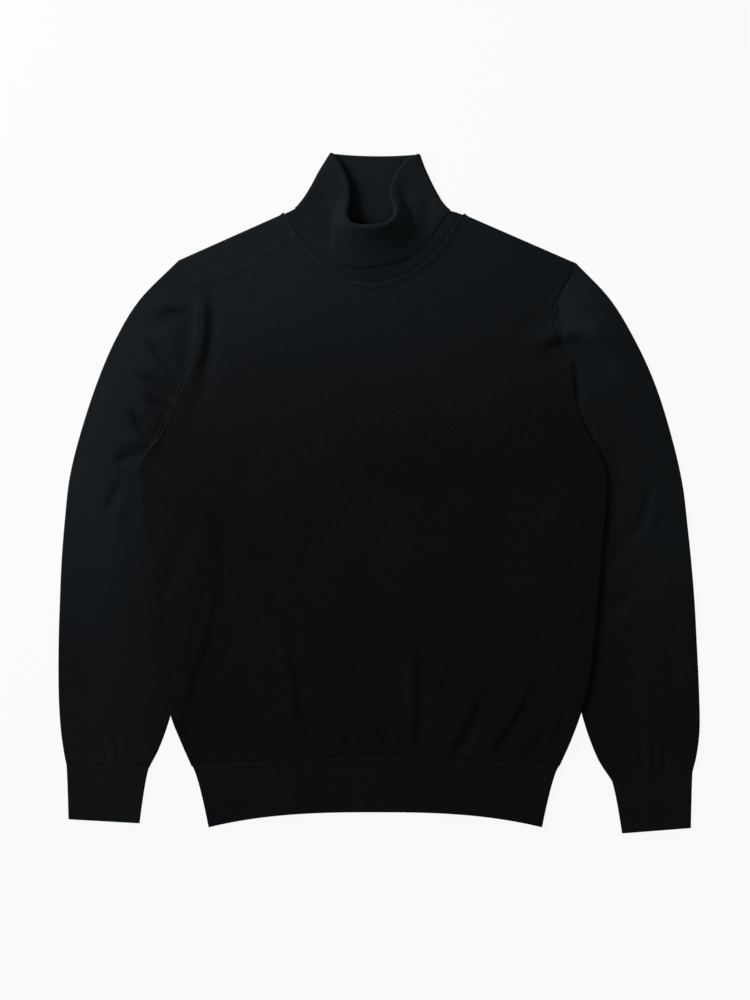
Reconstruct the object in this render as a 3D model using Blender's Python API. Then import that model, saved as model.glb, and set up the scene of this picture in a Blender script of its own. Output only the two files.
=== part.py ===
"""Turtleneck sweater of fine wool jersey, laid flat on its back with both sleeves down its sides.

The scene is in metres with +Z up; every size and table below is in millimetres.  The front faces
+Z, the collar points to +Y and the wearer's left arm is at +X.  The origin is under the middle of
the outline, on the surface that the sweater lies on.  Each piece is a wall of cloth round a middle
surface, and neighbouring pieces stay a seam gap apart.
"""

import bpy
import numpy as np

MM = 0.001

# Cloth
BODY_WALL = 1.2
RIB_WALL = 1.6
SEAM_GAP = 0.35
EDGE_SEAM_GAP = 0.8
COLLAR_SEAM_GAP = 0.7
COLLAR_CORNER_GAP = 1.0

# Rest heights of the layers, measured to the middle of each wall
BACK_LEVEL = BODY_WALL / 2
BODY_LOFT = 1.4
FRONT_STEP = BODY_WALL + SEAM_GAP + BODY_LOFT
EDGE_RADIUS = (FRONT_STEP - EDGE_SEAM_GAP) / 2
SHOULDER_RADIUS = FRONT_STEP / 2
SEAM_STRIP = 3.0
SEAM_DROP = 0.25
SLEEVE_SEAM_GAP = 0.8
SLEEVE_PRESSED = 2.0
SLEEVE_RELIEF = 1.0
SLEEVE_TOP_PRESSED = BACK_LEVEL + SLEEVE_PRESSED
LIFT = SLEEVE_TOP_PRESSED + BODY_WALL / 2 + SEAM_GAP
LOFT_LIMITS = (0.15, 3.4)

# How the body climbs over the sleeves: full height close to a sleeve, none beyond the drape
LIFT_FULL = 9.0
LIFT_NONE = 22.0
LIFT_FROM_MIDDLE = (0.0, 60.0)
LIFT_BELOW_UNDERARM = 17.0
SLEEVE_CLEAR = (14.0, 34.0)

# Body edge from the hem seam up to the underarm: x, y
SIDE = {
    "right": [(-213, -311), (-225, -284), (-237, -252), (-247, -193), (-255, -124), (-262, -59),
              (-269, -19), (-272.5, 26)],
    "left": [(205, -311), (217, -284), (230, -248.5), (239, -211), (245, -168), (250, -111),
             (254, -59), (258.5, -14), (259, 20.5)],
}
# Rows, counted from the underarm, between which a turned side edge becomes a flat seam strip
TURNED_ROWS = (-4, 2)
# Armhole seam from the underarm up to the forward shoulder seam, then to the shoulder fold: x, y
ARMHOLE = {
    "right": [(-272.5, 26), (-263.5, 45.5), (-251, 60), (-239, 82), (-229, 102.5), (-220, 123),
              (-214, 146), (-208.5, 169), (-206, 197), (-207.5, 218), (-214, 236)],
    "left": [(259, 20.5), (251, 48), (236, 71), (226, 97), (219.5, 126), (213, 149),
             (203.5, 172), (199.5, 197), (201, 216), (208.5, 232.5)],
}
SHOULDER_POINT = {"right": (-228, 264.5), "left": (224.5, 261)}
NECK_POINT = {"right": (-108, 318), "left": (96, 317)}
# Forward shoulder seam from the armhole to the neck seam: x, y
FORWARD_SEAM = {
    "right": [(-214, 236), (-204, 239), (-178, 244), (-158.5, 252), (-132, 269), (-109, 284),
              (-94.5, 293)],
    "left": [(208.5, 232.5), (195, 238), (172, 251), (138, 270), (104, 288), (84.5, 301)],
}
# Neck seams, from the wearer's right to left: x, y
NECK_FRONT = [(-94.5, 293), (-86.5, 282.5), (-69.5, 264.5), (-46.5, 248.5), (-27.5, 240),
              (-10, 237), (7, 240), (35, 249), (58, 266), (71, 280), (84.5, 301)]
NECK_BACK = [(-108, 318), (-56, 309), (-7, 304.5), (47, 308), (96, 317)]

# Hem seam and hem: the line of each rises towards the middle by the sagitta
HEM_SEAM_SAGITTA = 10.0
HEM_SEAM_POWER = 1.5
HEM_CORNERS = ((-193.5, -380.5), (185, -380.5))
HEM_SAGITTA = 17.0
HEM_POWER = 2.7

# Sleeve sections from the armhole to the cuff seam: outer edge x, y, then underarm edge x, y
SLEEVE = {
    "right": [(-230.3, 263.3, -273.7, 25.6), (-272, 220, -274.7, 24.0), (-299, 176, -275.4, 22),
              (-320.5, 126, -275.8, 19), (-339.5, 68, -275.4, 13.5), (-352, 17, -272, 0),
              (-357.5, -32, -254, -33), (-361, -76, -227, -66), (-363, -122, -211.5, -105),
              (-364.5, -172, -214, -152), (-364.5, -225, -226, -205), (-362.5, -264, -238.5, -255),
              (-359, -292, -250, -288), (-355.5, -310, -262, -312)],
    "left": [(226.8, 259.7, 260.2, 20.1), (263, 220, 261.2, 18.5), (292, 172, 261.9, 16.5),
             (315, 121, 262.3, 13.5), (333, 63, 261.9, 8), (345, 11, 258.5, -6),
             (351, -38, 241, -38), (355.5, -82, 214.5, -71), (359, -125, 202.5, -111),
             (361.5, -172, 207.5, -152), (364, -225, 220, -206), (364.7, -268, 234.5, -262),
             (361.5, -297, 249, -301), (356.5, -318, 264.5, -326)],
}
SECTION_BELOW_UNDERARM = 4
# Share of a sleeve's length over which its sections keep the bend of the armhole
ARMHOLE_BEND = 0.5
# Cuff bottom corners: outer x, y, then inner x, y
CUFF = {"right": (-353, -371.5, -273.5, -376), "left": (354.5, -381.5, 277.5, -387.5)}
# Ribbed bands draw in faster below their seam than lower down
RIB_FLARE_POWER = 0.7

# Collar, in the middle of the standing layer.  Side folds from the neck seam to the top: x, y
COLLAR_SIDE = {
    "right": [(-105.4, 319.3), (-99.5, 320.9), (-93.5, 324), (-85.5, 332.5), (-76, 347),
              (-66, 365), (-53, 384)],
    "left": [(93.4, 318.3), (87, 319.2), (79, 321.5), (71.5, 328.5), (64.5, 339.5),
             (55.5, 356.5), (48.5, 371), (43.5, 383)],
}
# Top of the front of the collar, slumped into a U between the two side folds: x, y
CREST_FRONT = [(-53, 384), (-47, 376), (-42, 366), (-37, 353), (-35, 340), (-36, 326),
               (-37.5, 313), (-32.5, 304.5), (-19.5, 301), (-3.5, 301.5), (10, 305), (17.5, 313),
               (18, 325), (14.5, 336.5), (15, 348), (20.5, 360), (28.5, 373), (36, 380),
               (43.5, 383)]
CREST_BACK = [(-53, 384), (-33, 382.2), (-8, 381.2), (24, 381.7), (43.5, 383)]
# Place across the front, height added there by the roll, radius of the roll, share of the
# stand that the turned-down layer leaves bare
COLLAR_FRONT = [(0.00, 0.0, 1.6, 0.17), (0.14, 2.4, 2.2, 0.17), (0.29, 8.0, 2.6, 0.20),
                (0.36, 15.0, 2.8, 0.27), (0.43, 18.0, 2.8, 0.32), (0.51, 19.0, 3.0, 0.35),
                (0.60, 16.5, 2.8, 0.31), (0.70, 8.0, 2.6, 0.23), (0.86, 2.0, 2.2, 0.21),
                (1.00, 0.0, 1.6, 0.19)]
COLLAR_BACK_BARE = 0.16
COLLAR_SIDE_RADIUS = 1.3
COLLAR_LAYER_STEP = RIB_WALL + SEAM_GAP
# The front rises partly evenly from the neck seam and partly close to the roll
COLLAR_EVEN_RISE = 0.62
COLLAR_RISE_POWER = 2.0
CREST_DEPARTURE = 0.33
CREST_APPROACH = 0.33
# How closely the corner gap and the pull of the side folds keep to the ends of the front
COLLAR_CORNER_POWER = 6
COLLAR_SIDE_POWER = 5

# Largest soft folds: start x, y, bend x, y, end x, y, height (a trough is below zero), half width
BODY_FOLDS = [
    (-215, -31, -222, -70, -243, -100, -1.1, 9),
    (-181, -45, -197, -100, -212, -180, -0.8, 11),
    (-196, -60, -216, -120, -228, -190, 0.9, 12),
    (-99, -150, -92, -215, -82, -276, -1.3, 8),
    (-114, -165, -106, -225, -96, -270, 1.0, 10),
    (47, -162, 53, -235, 44, -287, -1.3, 8),
    (31, -170, 37, -240, 30, -285, 1.0, 10),
    (125, -222, 112, -265, 84, -303, -1.3, 9),
    (186, -213, 165, -262, 129, -304, -1.3, 9),
    (160, -215, 140, -262, 108, -302, 0.8, 10),
    (181, 205, 172, 192, 163, 183, -1.0, 9),
    (-196, 215, -197, 165, -216, 108, -1.2, 8),
    (190, 190, 185, 170, 188, 140, 0.9, 9),
]
BODY_FOLDS_START = (2.0, 16.0)
SLEEVE_FOLDS = [
    (-255, 207, -243, 212, -222, 197, -2.0, 9),
    (-236, 128, -252, 150, -267, 172, -0.8, 7),
    (-252, 58, -272, 76, -287, 106, -1.3, 8),
    (-280, 44, -292, 43, -307, 41, -2.0, 8),
    (-272, 0, -290, -10, -310, -26, 1.2, 10),
    (204, 168, 228, 182, 258, 157, -2.2, 9),
    (310, 26, 304, -40, 262, -80, -2.0, 10),
    (288, -10, 283, -40, 266, -58, 1.2, 10),
    (289, -110, 277, -130, 255, -146, -0.9, 10),
]
SLEEVE_FOLDS_START = (3.0, 18.0)
SLEEVE_RELIEF_LIMITS = (-0.9, 2.2)
RIDGE_AT_ARMHOLE = 1.0
RIDGE_HALF_WIDTH = 7.0

# Mesh density
EDGE_COLUMNS = (0.0, 8.0, 17.0, 26.0, 36.0, 48.0, 66.0, 92.0, 125.0)
CHEST_WIDTH = 532.0
NECK_CELLS = 14
SIDE_ROWS = (0, 0.055, 0.11, 0.165, 0.22, 0.30, 0.39, 0.48, 0.57, 0.66, 0.75, 0.82, 0.875, 0.92,
             0.952, 0.977, 1.0)
ARMHOLE_CELLS = 8
FLAP_CELLS = 2
SLEEVE_CELLS = 18
RIB_CELLS = 3
FOLD_LINE_POINTS = 9
COLLAR_FRONT_CELLS = 2
# Rows of the collar's stand: bare part, then the part that the outer layer covers
BARE_ROWS = (0.0, 0.5, 1.0)
COVERED_ROWS = (0.3, 0.6, 0.85, 1.0)
# Turns round a folded edge, a seam strip, the shoulder fold and the collar's roll
FOLD_TURNS = np.radians([45, 90, 135])
STRIP_TURNS = np.radians([90, 45])
SHOULDER_TURNS = np.radians([60, 120, 180])
ROLL_TURNS = np.radians([60, 120])
SHARP_ANGLE = np.radians(50)

BLACK_JERSEY = (0.0064, 0.0072, 0.0084, 1.0)
BLACK_RIB = (0.0070, 0.0080, 0.0092, 1.0)
WOOL_ROUGHNESS = 0.85


# Curves and surfaces

def smooth_path(points, place):
    """Point on a smooth curve through the points; place runs from 0 to 1 of its length."""
    points = np.asarray(points, float)
    steps = np.linalg.norm(np.diff(points[:, :2], axis=0), axis=1)
    knots = np.concatenate(([0.0], np.cumsum(steps)))
    return hermite(points, knots / knots[-1], place)


def hermite(points, knots, place):
    """Cubic through the points at the knots, with central slopes."""
    slopes = np.gradient(points, knots, axis=0)
    place = np.asarray(place, float)
    low = np.clip(np.searchsorted(knots, place, side="right") - 1, 0, len(knots) - 2)
    span = (knots[low + 1] - knots[low])[..., None]
    t = (place - knots[low])[..., None] / span
    return (points[low] * (1 + 2 * t) * (1 - t) ** 2 + slopes[low] * span * t * (1 - t) ** 2
            + points[low + 1] * t * t * (3 - 2 * t) + slopes[low + 1] * span * t * t * (t - 1))


def patch(bottom, top, left, right, u, v):
    """Surface blended from its four edges; u runs along bottom and top, v up left and right."""
    u = np.asarray(u, float)[..., None]
    v = np.asarray(v, float)[..., None]
    ruled = (1 - v) * bottom + v * top + (1 - u) * left + u * right
    corners = ((1 - u) * (1 - v) * bottom[..., :1, :] + u * (1 - v) * bottom[..., -1:, :]
               + (1 - u) * v * top[..., :1, :] + u * v * top[..., -1:, :])
    return ruled - corners


def ramp(value, low, high):
    """Soft step from 0 at low to 1 at high."""
    t = np.clip((value - low) / (high - low), 0.0, 1.0)
    return t * t * (3 - 2 * t)


def distance_to(points, x, y):
    """Distance from each place to the line through the points."""
    points = np.asarray(points, float)[:, :2]
    best = np.full(np.shape(x), np.inf)
    for start, end in zip(points[:-1], points[1:]):
        along = end - start
        t = ((x - start[0]) * along[0] + (y - start[1]) * along[1]) / (along @ along)
        t = np.clip(t, 0.0, 1.0)
        gap = np.hypot(x - start[0] - t * along[0], y - start[1] - t * along[1])
        best = np.minimum(best, gap)
    return best


def fold_relief(folds, x, y):
    """Height that the soft folds add: each is a bell across its own bent line."""
    height = np.zeros(np.shape(x))
    turns = np.linspace(0.0, 1.0, FOLD_LINE_POINTS)[:, None]
    for x0, y0, x1, y1, x2, y2, rise, width in folds:
        line = ((1 - turns) ** 2 * (x0, y0) + 2 * turns * (1 - turns) * (x1, y1)
                + turns ** 2 * (x2, y2))
        height += rise * np.exp(-(distance_to(line, x, y) / width) ** 2)
    return height


def left_normal(path):
    """Unit vectors a quarter turn anticlockwise from the way the path runs."""
    way = np.gradient(path, axis=0)
    way /= np.linalg.norm(way, axis=1, keepdims=True)
    return np.stack([-way[:, 1], way[:, 0]], axis=1)


# Heights of the layers

def body_lift(x, y):
    """Height that the two sleeves under the body give it."""
    lift = np.zeros(np.shape(x))
    for side, out in (("right", -1), ("left", 1)):
        inner = np.array(SLEEVE[side], float)[SECTION_BELOW_UNDERARM:, 2:]
        edge_x = np.interp(-y, -inner[:, 1], inner[:, 0])
        beyond = np.where((x - edge_x) * out > 0, 0.0, distance_to(inner, x, y))
        below = SIDE[side][-1][1] - y
        near_arm = ramp(x * out, *LIFT_FROM_MIDDLE)
        lift += (near_arm * (1 - ramp(beyond, LIFT_FULL, LIFT_NONE))
                 * ramp(below, 0.0, LIFT_BELOW_UNDERARM))
    return LIFT * lift


def back_height(x, y):
    """Middle of the back panel: on the table, or on the sleeves under it."""
    return BACK_LEVEL + body_lift(x, y)


def front_height(x, y):
    """Middle of the front panel: over the back panel, with its folds."""
    edges = [SIDE[side] + ARMHOLE[side][1:] for side in SIDE]
    inside = np.minimum(distance_to(edges[0], x, y), distance_to(edges[1], x, y))
    relief = fold_relief(BODY_FOLDS, x, y) * ramp(inside, *BODY_FOLDS_START)
    loft = np.clip(BODY_LOFT + relief, *LOFT_LIMITS)
    return back_height(x, y) + BODY_WALL + SEAM_GAP + loft


def sleeve_height(side, x, y):
    """Middle of the sleeve's upper wall: pressed flat beside and under the body."""
    edge = np.array(SIDE[side], float)
    outward = (x - np.interp(y, edge[:, 1], edge[:, 0])) * (-1 if side == "right" else 1)
    past_edge = np.where((outward > 0) | (y > edge[-1, 1]), distance_to(edge, x, y), 0.0)
    clear = ramp(past_edge, *SLEEVE_CLEAR)
    relief = fold_relief(SLEEVE_FOLDS, x, y)
    from_seam = distance_to(ARMHOLE[side], x, y)
    at_seam = RIDGE_AT_ARMHOLE * np.exp(-(from_seam / RIDGE_HALF_WIDTH) ** 2)
    outer = np.array(SLEEVE[side], float)[:, :2]
    inside = ramp(distance_to(outer, x, y), *SLEEVE_FOLDS_START)
    extra = SLEEVE_RELIEF + np.clip(relief + at_seam, *SLEEVE_RELIEF_LIMITS) * inside
    return SLEEVE_TOP_PRESSED + clear * extra


# Outline curves shared by the pieces on both sides of a seam

def columns():
    """Places of the body's columns across the chest, from 0 at the right edge to 1."""
    edge = np.array(EDGE_COLUMNS) / CHEST_WIDTH
    neck = np.linspace(edge[-1], 1 - edge[-1], NECK_CELLS + 1)
    return np.concatenate([edge[:-1], neck, 1 - edge[-2::-1]])


def sagging_line(start, end, sagitta, power, u):
    """Line between two corners that rises towards its middle."""
    start, end = np.array(start, float), np.array(end, float)
    line = start + (end - start) * np.asarray(u)[:, None]
    line[:, 1] += sagitta * (1 - np.abs(2 * np.asarray(u) - 1) ** power)
    return line


def hem_seam(u):
    """Seam between the body and the hem rib."""
    return sagging_line(SIDE["right"][0], SIDE["left"][0], HEM_SEAM_SAGITTA, HEM_SEAM_POWER, u)


def armhole_points(side):
    """Seam points from the underarm to the forward seam, then on to the shoulder fold."""
    main = smooth_path(ARMHOLE[side], np.linspace(0, 1, ARMHOLE_CELLS + 1))
    tip = np.linspace(main[-1], SHOULDER_POINT[side], FLAP_CELLS + 1)
    return np.vstack([main, tip[1:]])


def neck_front_points():
    """Front neck seam, one point for each of its columns."""
    return smooth_path(NECK_FRONT, np.linspace(0, 1, NECK_CELLS + 1))


def neck_back_points():
    """Back neck seam, one point for each of its columns."""
    return smooth_path(NECK_BACK, np.linspace(0, 1, NECK_CELLS + 1))


def top_edge(shoulder_right, neck, shoulder_left):
    """Top edge of a panel: shoulder, neck and shoulder, one point for each column."""
    edge = np.array(EDGE_COLUMNS) / EDGE_COLUMNS[-1]
    right = smooth_path(shoulder_right, edge)
    left = smooth_path(shoulder_left, edge)
    return np.vstack([right[:-1], neck, left[::-1][1:]])


# Closed walls

def shell(name, points, wall, material, around=False, cells=None):
    """Closed wall, as thick as given, centred on a grid of points in millimetres.

    The grid is points[row, column]; around joins its last column to its first, and cells says
    which of its cells exist.
    """
    rows, cols = points.shape[:2]
    spans = cols if around else cols - 1
    if cells is None:
        cells = np.ones((rows - 1, spans), bool)
    i, j = np.nonzero(cells)
    k = (j + 1) % cols
    quads = np.stack([i * cols + j, i * cols + k, (i + 1) * cols + k, (i + 1) * cols + j], axis=1)
    middle = points.reshape(-1, 3)
    a, b, c, d = (middle[quads[:, n]] for n in range(4))
    facing = np.cross(c - a, d - b)
    normal = np.zeros_like(middle)
    for corner in range(4):
        np.add.at(normal, quads[:, corner], facing)
    used = np.unique(quads)
    normal[used] /= np.linalg.norm(normal[used], axis=1, keepdims=True)
    index = np.full(len(middle), -1)
    index[used] = np.arange(len(used))
    half = normal[used] * wall / 2
    vertices = np.vstack([middle[used] + half, middle[used] - half]) * MM
    quads = index[quads]
    inner = len(used)
    outer_faces = np.vstack([quads[:, [0, 1, 2]], quads[:, [0, 2, 3]]])
    edges = np.vstack([quads[:, [n, (n + 1) % 4]] for n in range(4)])
    known = set(map(tuple, edges.tolist()))
    rim = np.array([(p, q) for p, q in edges.tolist() if (q, p) not in known])
    start, end = rim[:, 0], rim[:, 1]
    faces = np.vstack([outer_faces, outer_faces[:, ::-1] + inner,
                       np.stack([end, start, start + inner], axis=1),
                       np.stack([end, start + inner, end + inner], axis=1)])
    mesh = bpy.data.meshes.new(name)
    mesh.from_pydata(vertices.tolist(), [], faces.tolist())
    mesh.materials.append(material)
    mesh.shade_smooth()
    mesh.set_sharp_from_angle(angle=SHARP_ANGLE)
    bpy.context.scene.collection.objects.link(bpy.data.objects.new(name, mesh))


def wool(name, colour):
    """Matt wool of one colour."""
    material = bpy.data.materials.new(name)
    material.use_nodes = True
    shader = material.node_tree.nodes["Principled BSDF"]
    shader.inputs["Base Color"].default_value = colour
    shader.inputs["Roughness"].default_value = WOOL_ROUGHNESS
    shader.inputs["Metallic"].default_value = 0.0
    return material


def fold_arc(tip, out, low, high, turns):
    """Points round a folded edge: tip is its farthest point, low and high the two walls.

    The turns run from 0 at the upper wall to pi at the lower wall.
    """
    radius = (high - low) / 2
    centre = tip - out * radius[:, None]
    arc = []
    for turn in turns:
        place = centre + out * (radius * np.sin(turn))[:, None]
        arc.append(np.column_stack([place, (high + low) / 2 + radius * np.cos(turn)]))
    return np.stack(arc, axis=1)


# Body panels

def panel_plan(top, edges):
    """Plan of a body panel between its hem seam, its two edges and its top edge.

    The edges hold, for each side, the line one edge strip in from the seam; the underarm row
    parts the panel into a lower and an upper block.
    """
    u = columns()
    low_rows = np.array(SIDE_ROWS)
    split = len(low_rows) - 1
    right, left = edges["right"], edges["left"]
    high_rows = np.linspace(0, 1, len(right) - split)
    chest = right[split] + (left[split] - right[split]) * u[:, None]
    bottom, top = hem_seam(u), top.copy()
    bottom[0], bottom[-1] = right[0], left[0]
    top[0], top[-1] = right[-1], left[-1]
    low = patch(bottom[None], chest[None], right[:split + 1, None], left[:split + 1, None],
                u[None], low_rows[:, None])
    high = patch(chest[None], top[None], right[split:, None], left[split:, None],
                 u[None], high_rows[:, None])
    return np.vstack([low, high[1:]])


def edge_line(side, armhole_cells):
    """Whole edge of a panel: up the side, then up the armhole."""
    up_side = smooth_path(SIDE[side], np.array(SIDE_ROWS))
    return np.vstack([up_side, armhole_points(side)[1:armhole_cells + 1]])


def edge_strip(armhole_cells):
    """Width of the turned strip and how far it turns, for each row of a panel."""
    above_underarm = np.arange(len(SIDE_ROWS) + armhole_cells) - (len(SIDE_ROWS) - 1)
    turned = 1 - ramp(above_underarm, *TURNED_ROWS)
    width = SEAM_STRIP + (EDGE_RADIUS - SEAM_STRIP) * turned
    drop = SEAM_DROP + (EDGE_RADIUS - SEAM_DROP) * turned
    return width, drop


def body_panel(height, top, turn_sign, armhole_cells):
    """Grid of a body panel, with its edges turned towards the other panel."""
    width, drop = edge_strip(armhole_cells)
    lines = {side: edge_line(side, armhole_cells) for side in SIDE}
    out = {"right": left_normal(lines["right"]), "left": -left_normal(lines["left"])}
    inset = {side: lines[side] - out[side] * width[:, None] for side in SIDE}
    plan = panel_plan(top, inset)
    surface = np.dstack([plan, height(plan[..., 0], plan[..., 1])])
    strips = {}
    for side, column in (("right", 0), ("left", -1)):
        start = surface[:, column]
        strip = []
        for turn in STRIP_TURNS:
            place = start[:, :2] + out[side] * (width * np.sin(turn))[:, None]
            level = start[:, 2] + turn_sign * drop * (1 - np.cos(turn))
            strip.append(np.column_stack([place, level]))
        strips[side] = np.stack(strip, axis=1)
    return np.hstack([strips["right"], surface, strips["left"][:, ::-1]])


def build_front(material):
    """Front panel; gives its top edge back."""
    top = top_edge(FORWARD_SEAM["right"], neck_front_points(), FORWARD_SEAM["left"])
    grid = body_panel(front_height, top, -1, ARMHOLE_CELLS)
    shell("front", grid, BODY_WALL, material)
    return grid[-1]


def build_back(front_top, material):
    """Back panel, carried over the shoulder folds and down to the forward seams."""
    fold = {}
    for side, turn in (("right", 1), ("left", -1)):
        line = np.linspace(SHOULDER_POINT[side], NECK_POINT[side], len(EDGE_COLUMNS))
        way = (line[-1] - line[0]) / np.linalg.norm(line[-1] - line[0])
        out = np.array([-way[1], way[0]]) * turn
        fold[side] = (line - out * SHOULDER_RADIUS, out)
    top = top_edge(fold["right"][0], neck_back_points(), fold["left"][0])
    grid = body_panel(back_height, top, 1, ARMHOLE_CELLS + FLAP_CELLS)
    rows, cols = grid.shape[:2]
    last = grid[-1]
    on_right = np.arange(cols)[:, None] < cols // 2
    out = np.where(on_right, fold["right"][1], fold["left"][1])
    over = []
    for turn in SHOULDER_TURNS:
        place = last[:, :2] + out * SHOULDER_RADIUS * np.sin(turn)
        over.append(np.column_stack([place, last[:, 2] + SHOULDER_RADIUS * (1 - np.cos(turn))]))
    start, goal = over[-1], front_top.copy()
    goal[:, :2] += left_normal(front_top[:, :2]) * SEAM_GAP
    for share in np.linspace(0, 1, FLAP_CELLS + 1)[1:]:
        over.append(start + (goal - start) * share)
    grid = np.concatenate([grid, np.stack(over)])
    cells = np.ones((len(grid) - 1, cols - 1), bool)
    shoulder = len(EDGE_COLUMNS) + 1
    cells[rows - 1:, shoulder:cols - 1 - shoulder] = False
    shell("back", grid, BODY_WALL, material, cells=cells)


# Sleeves and ribs

def edge_normal(path, inside):
    """Unit vectors square to an edge path, pointing away from the points inside it."""
    normal = left_normal(path)
    middle = len(path) // 2
    return normal * np.sign((path[middle] - inside[middle]) @ normal[middle])


def tube(top_plan, top_level, bottom_level, first_tip, last_tip):
    """Grid of a flattened tube: upper wall, far fold, lower wall and near fold.

    The top plan holds a row of points for each section, from the near tip to the far tip.
    """
    out_first = edge_normal(first_tip, top_plan[:, 1])
    out_last = edge_normal(last_tip, top_plan[:, -2])
    plan = top_plan.copy()
    for column, tip, out in ((0, first_tip, out_first), (-1, last_tip, out_last)):
        radius = (top_level[:, column] - bottom_level[:, column]) / 2
        plan[:, column] = tip - out * radius[:, None]
    upper = np.dstack([plan, top_level])
    lower = np.dstack([plan, bottom_level])[:, ::-1]
    far = fold_arc(last_tip, out_last, bottom_level[:, -1], top_level[:, -1], FOLD_TURNS)
    near = fold_arc(first_tip, out_first, bottom_level[:, 0], top_level[:, 0], FOLD_TURNS[::-1])
    return np.concatenate([upper, far, lower, near], axis=1)


def sleeve_plan(side):
    """Plan of a sleeve: sections fan out from the armhole curve to the straight cuff seam."""
    table = np.array(SLEEVE[side], float)
    stations = np.linspace(0, len(table) - 1, SLEEVE_CELLS + 1)
    sections = hermite(table, np.arange(len(table), dtype=float), stations)
    outer, inner = sections[:, :2], sections[:, 2:]
    seam = armhole_points(side)[::-1]
    steps = np.concatenate(([0.0], np.cumsum(np.linalg.norm(np.diff(seam, axis=0), axis=1))))
    w = steps / steps[-1]
    chord = seam[-1] - seam[0]
    length = np.linalg.norm(chord)
    along = chord / length
    across = np.array([-along[1], along[0]])
    bulge = seam - (seam[0] + chord * w[:, None])
    bulge = np.stack([bulge @ along, bulge @ across], axis=1) / length
    plan = []
    for k, (start, end) in enumerate(zip(outer, inner)):
        span = end - start
        size = np.linalg.norm(span)
        way = span / size
        side_way = np.array([-way[1], way[0]])
        keep = (1 - ramp(k / SLEEVE_CELLS, 0.0, ARMHOLE_BEND)) * size
        offset = (bulge[:, :1] * way + bulge[:, 1:] * side_way) * keep
        plan.append(start + span * w[:, None] + offset)
    plan = np.stack(plan)
    shift = left_normal(seam) * (-1 if side == "right" else 1) * SLEEVE_SEAM_GAP
    plan[0] = seam + shift
    return plan, outer, inner


def build_sleeve(side, material):
    """Sleeve; gives the plan, height and two edge points of its cuff seam back."""
    plan, outer, inner = sleeve_plan(side)
    x, y = plan[..., 0], plan[..., 1]
    high = sleeve_height(side, x, y)
    low = np.full_like(high, BACK_LEVEL)
    grid = tube(plan, high, low, outer, inner)
    if side == "left":
        grid = grid[:, ::-1]
    shell(f"sleeve_{side}", grid, BODY_WALL, material, around=True)
    return plan[-1], high[-1], outer[-1], inner[-1]


def rib_tube(name, seam, level, tips, edge, corners, material, flip=False):
    """Ribbed band from a seam to its lower edge, which has a level of its own.

    Tips and corners are the two ends of the seam and of the lower edge.
    """
    way = edge.mean(axis=0) - seam.mean(axis=0)
    gap = way / np.linalg.norm(way) * SEAM_GAP
    share = np.linspace(0, 1, RIB_CELLS + 1)
    reach = np.column_stack([share ** RIB_FLARE_POWER, share])[:, None]
    plan = seam + gap + (edge - seam - gap) * reach
    ends = tips + gap + (corners - tips - gap) * reach
    low = np.full(plan.shape[:2], RIB_WALL / 2)
    end_level = RIB_WALL / 2 + 2 * EDGE_RADIUS
    high = level + (end_level - level) * share[:, None]
    high = np.maximum(high, low + RIB_WALL + SEAM_GAP)
    grid = tube(plan, high, low, ends[:, 0], ends[:, 1])
    if flip:
        grid = grid[:, ::-1]
    shell(name, grid, RIB_WALL, material, around=True)


def build_cuff(side, sleeve_end, material):
    """Cuff between the sleeve's seam and its own two bottom corners."""
    plan, height, outer, inner = sleeve_end
    w = np.linspace(0, 1, len(plan))
    corners = np.array(CUFF[side], float).reshape(2, 2)
    seam = outer + (inner - outer) * w[:, None]
    edge = corners[0] + (corners[1] - corners[0]) * w[:, None]
    rib_tube(f"cuff_{side}", seam, height, np.stack([outer, inner]), edge, corners, material,
             flip=side == "left")


def build_hem(material):
    """Hem rib between the hem seam and its own two bottom corners."""
    u = columns()
    seam = hem_seam(u)
    edge = sagging_line(*HEM_CORNERS, HEM_SAGITTA, HEM_POWER, u)
    level = front_height(seam[:, 0], seam[:, 1])
    rib_tube("hem_rib", seam, level, seam[[0, -1]], edge, edge[[0, -1]], material)


# Collar

def refined(points, times):
    """Extra points on the straight lines between the given ones."""
    old = np.arange(len(points), dtype=float)
    new = np.linspace(0, len(points) - 1, (len(points) - 1) * times + 1)
    return np.stack([np.interp(new, old, points[:, n]) for n in range(points.shape[1])], axis=1)


def collar_table(w):
    """Height added at the roll, radius of the roll and bare share across the front."""
    table = np.array(COLLAR_FRONT)
    return hermite(table[:, 1:], table[:, 0], w).T


def stand_rows(bare):
    """Share of the stand at each row, from 0 at the neck seam to 1 at the roll."""
    low = np.array(BARE_ROWS)[:, None] * bare
    high = bare + (1 - bare) * np.array(COVERED_ROWS)[:, None]
    return np.vstack([low, high])


def stand_level(v, bare, roll):
    """Height of the standing layer's back wall over the table, and its step to the outer layer."""
    step = COLLAR_LAYER_STEP + (2 * roll - COLLAR_LAYER_STEP) * np.clip((v - 0.5) / 0.5, 0, 1) ** 2
    level = RIB_WALL / 2 + step * np.clip(v / bare, 0, 1)
    return level, step


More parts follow.
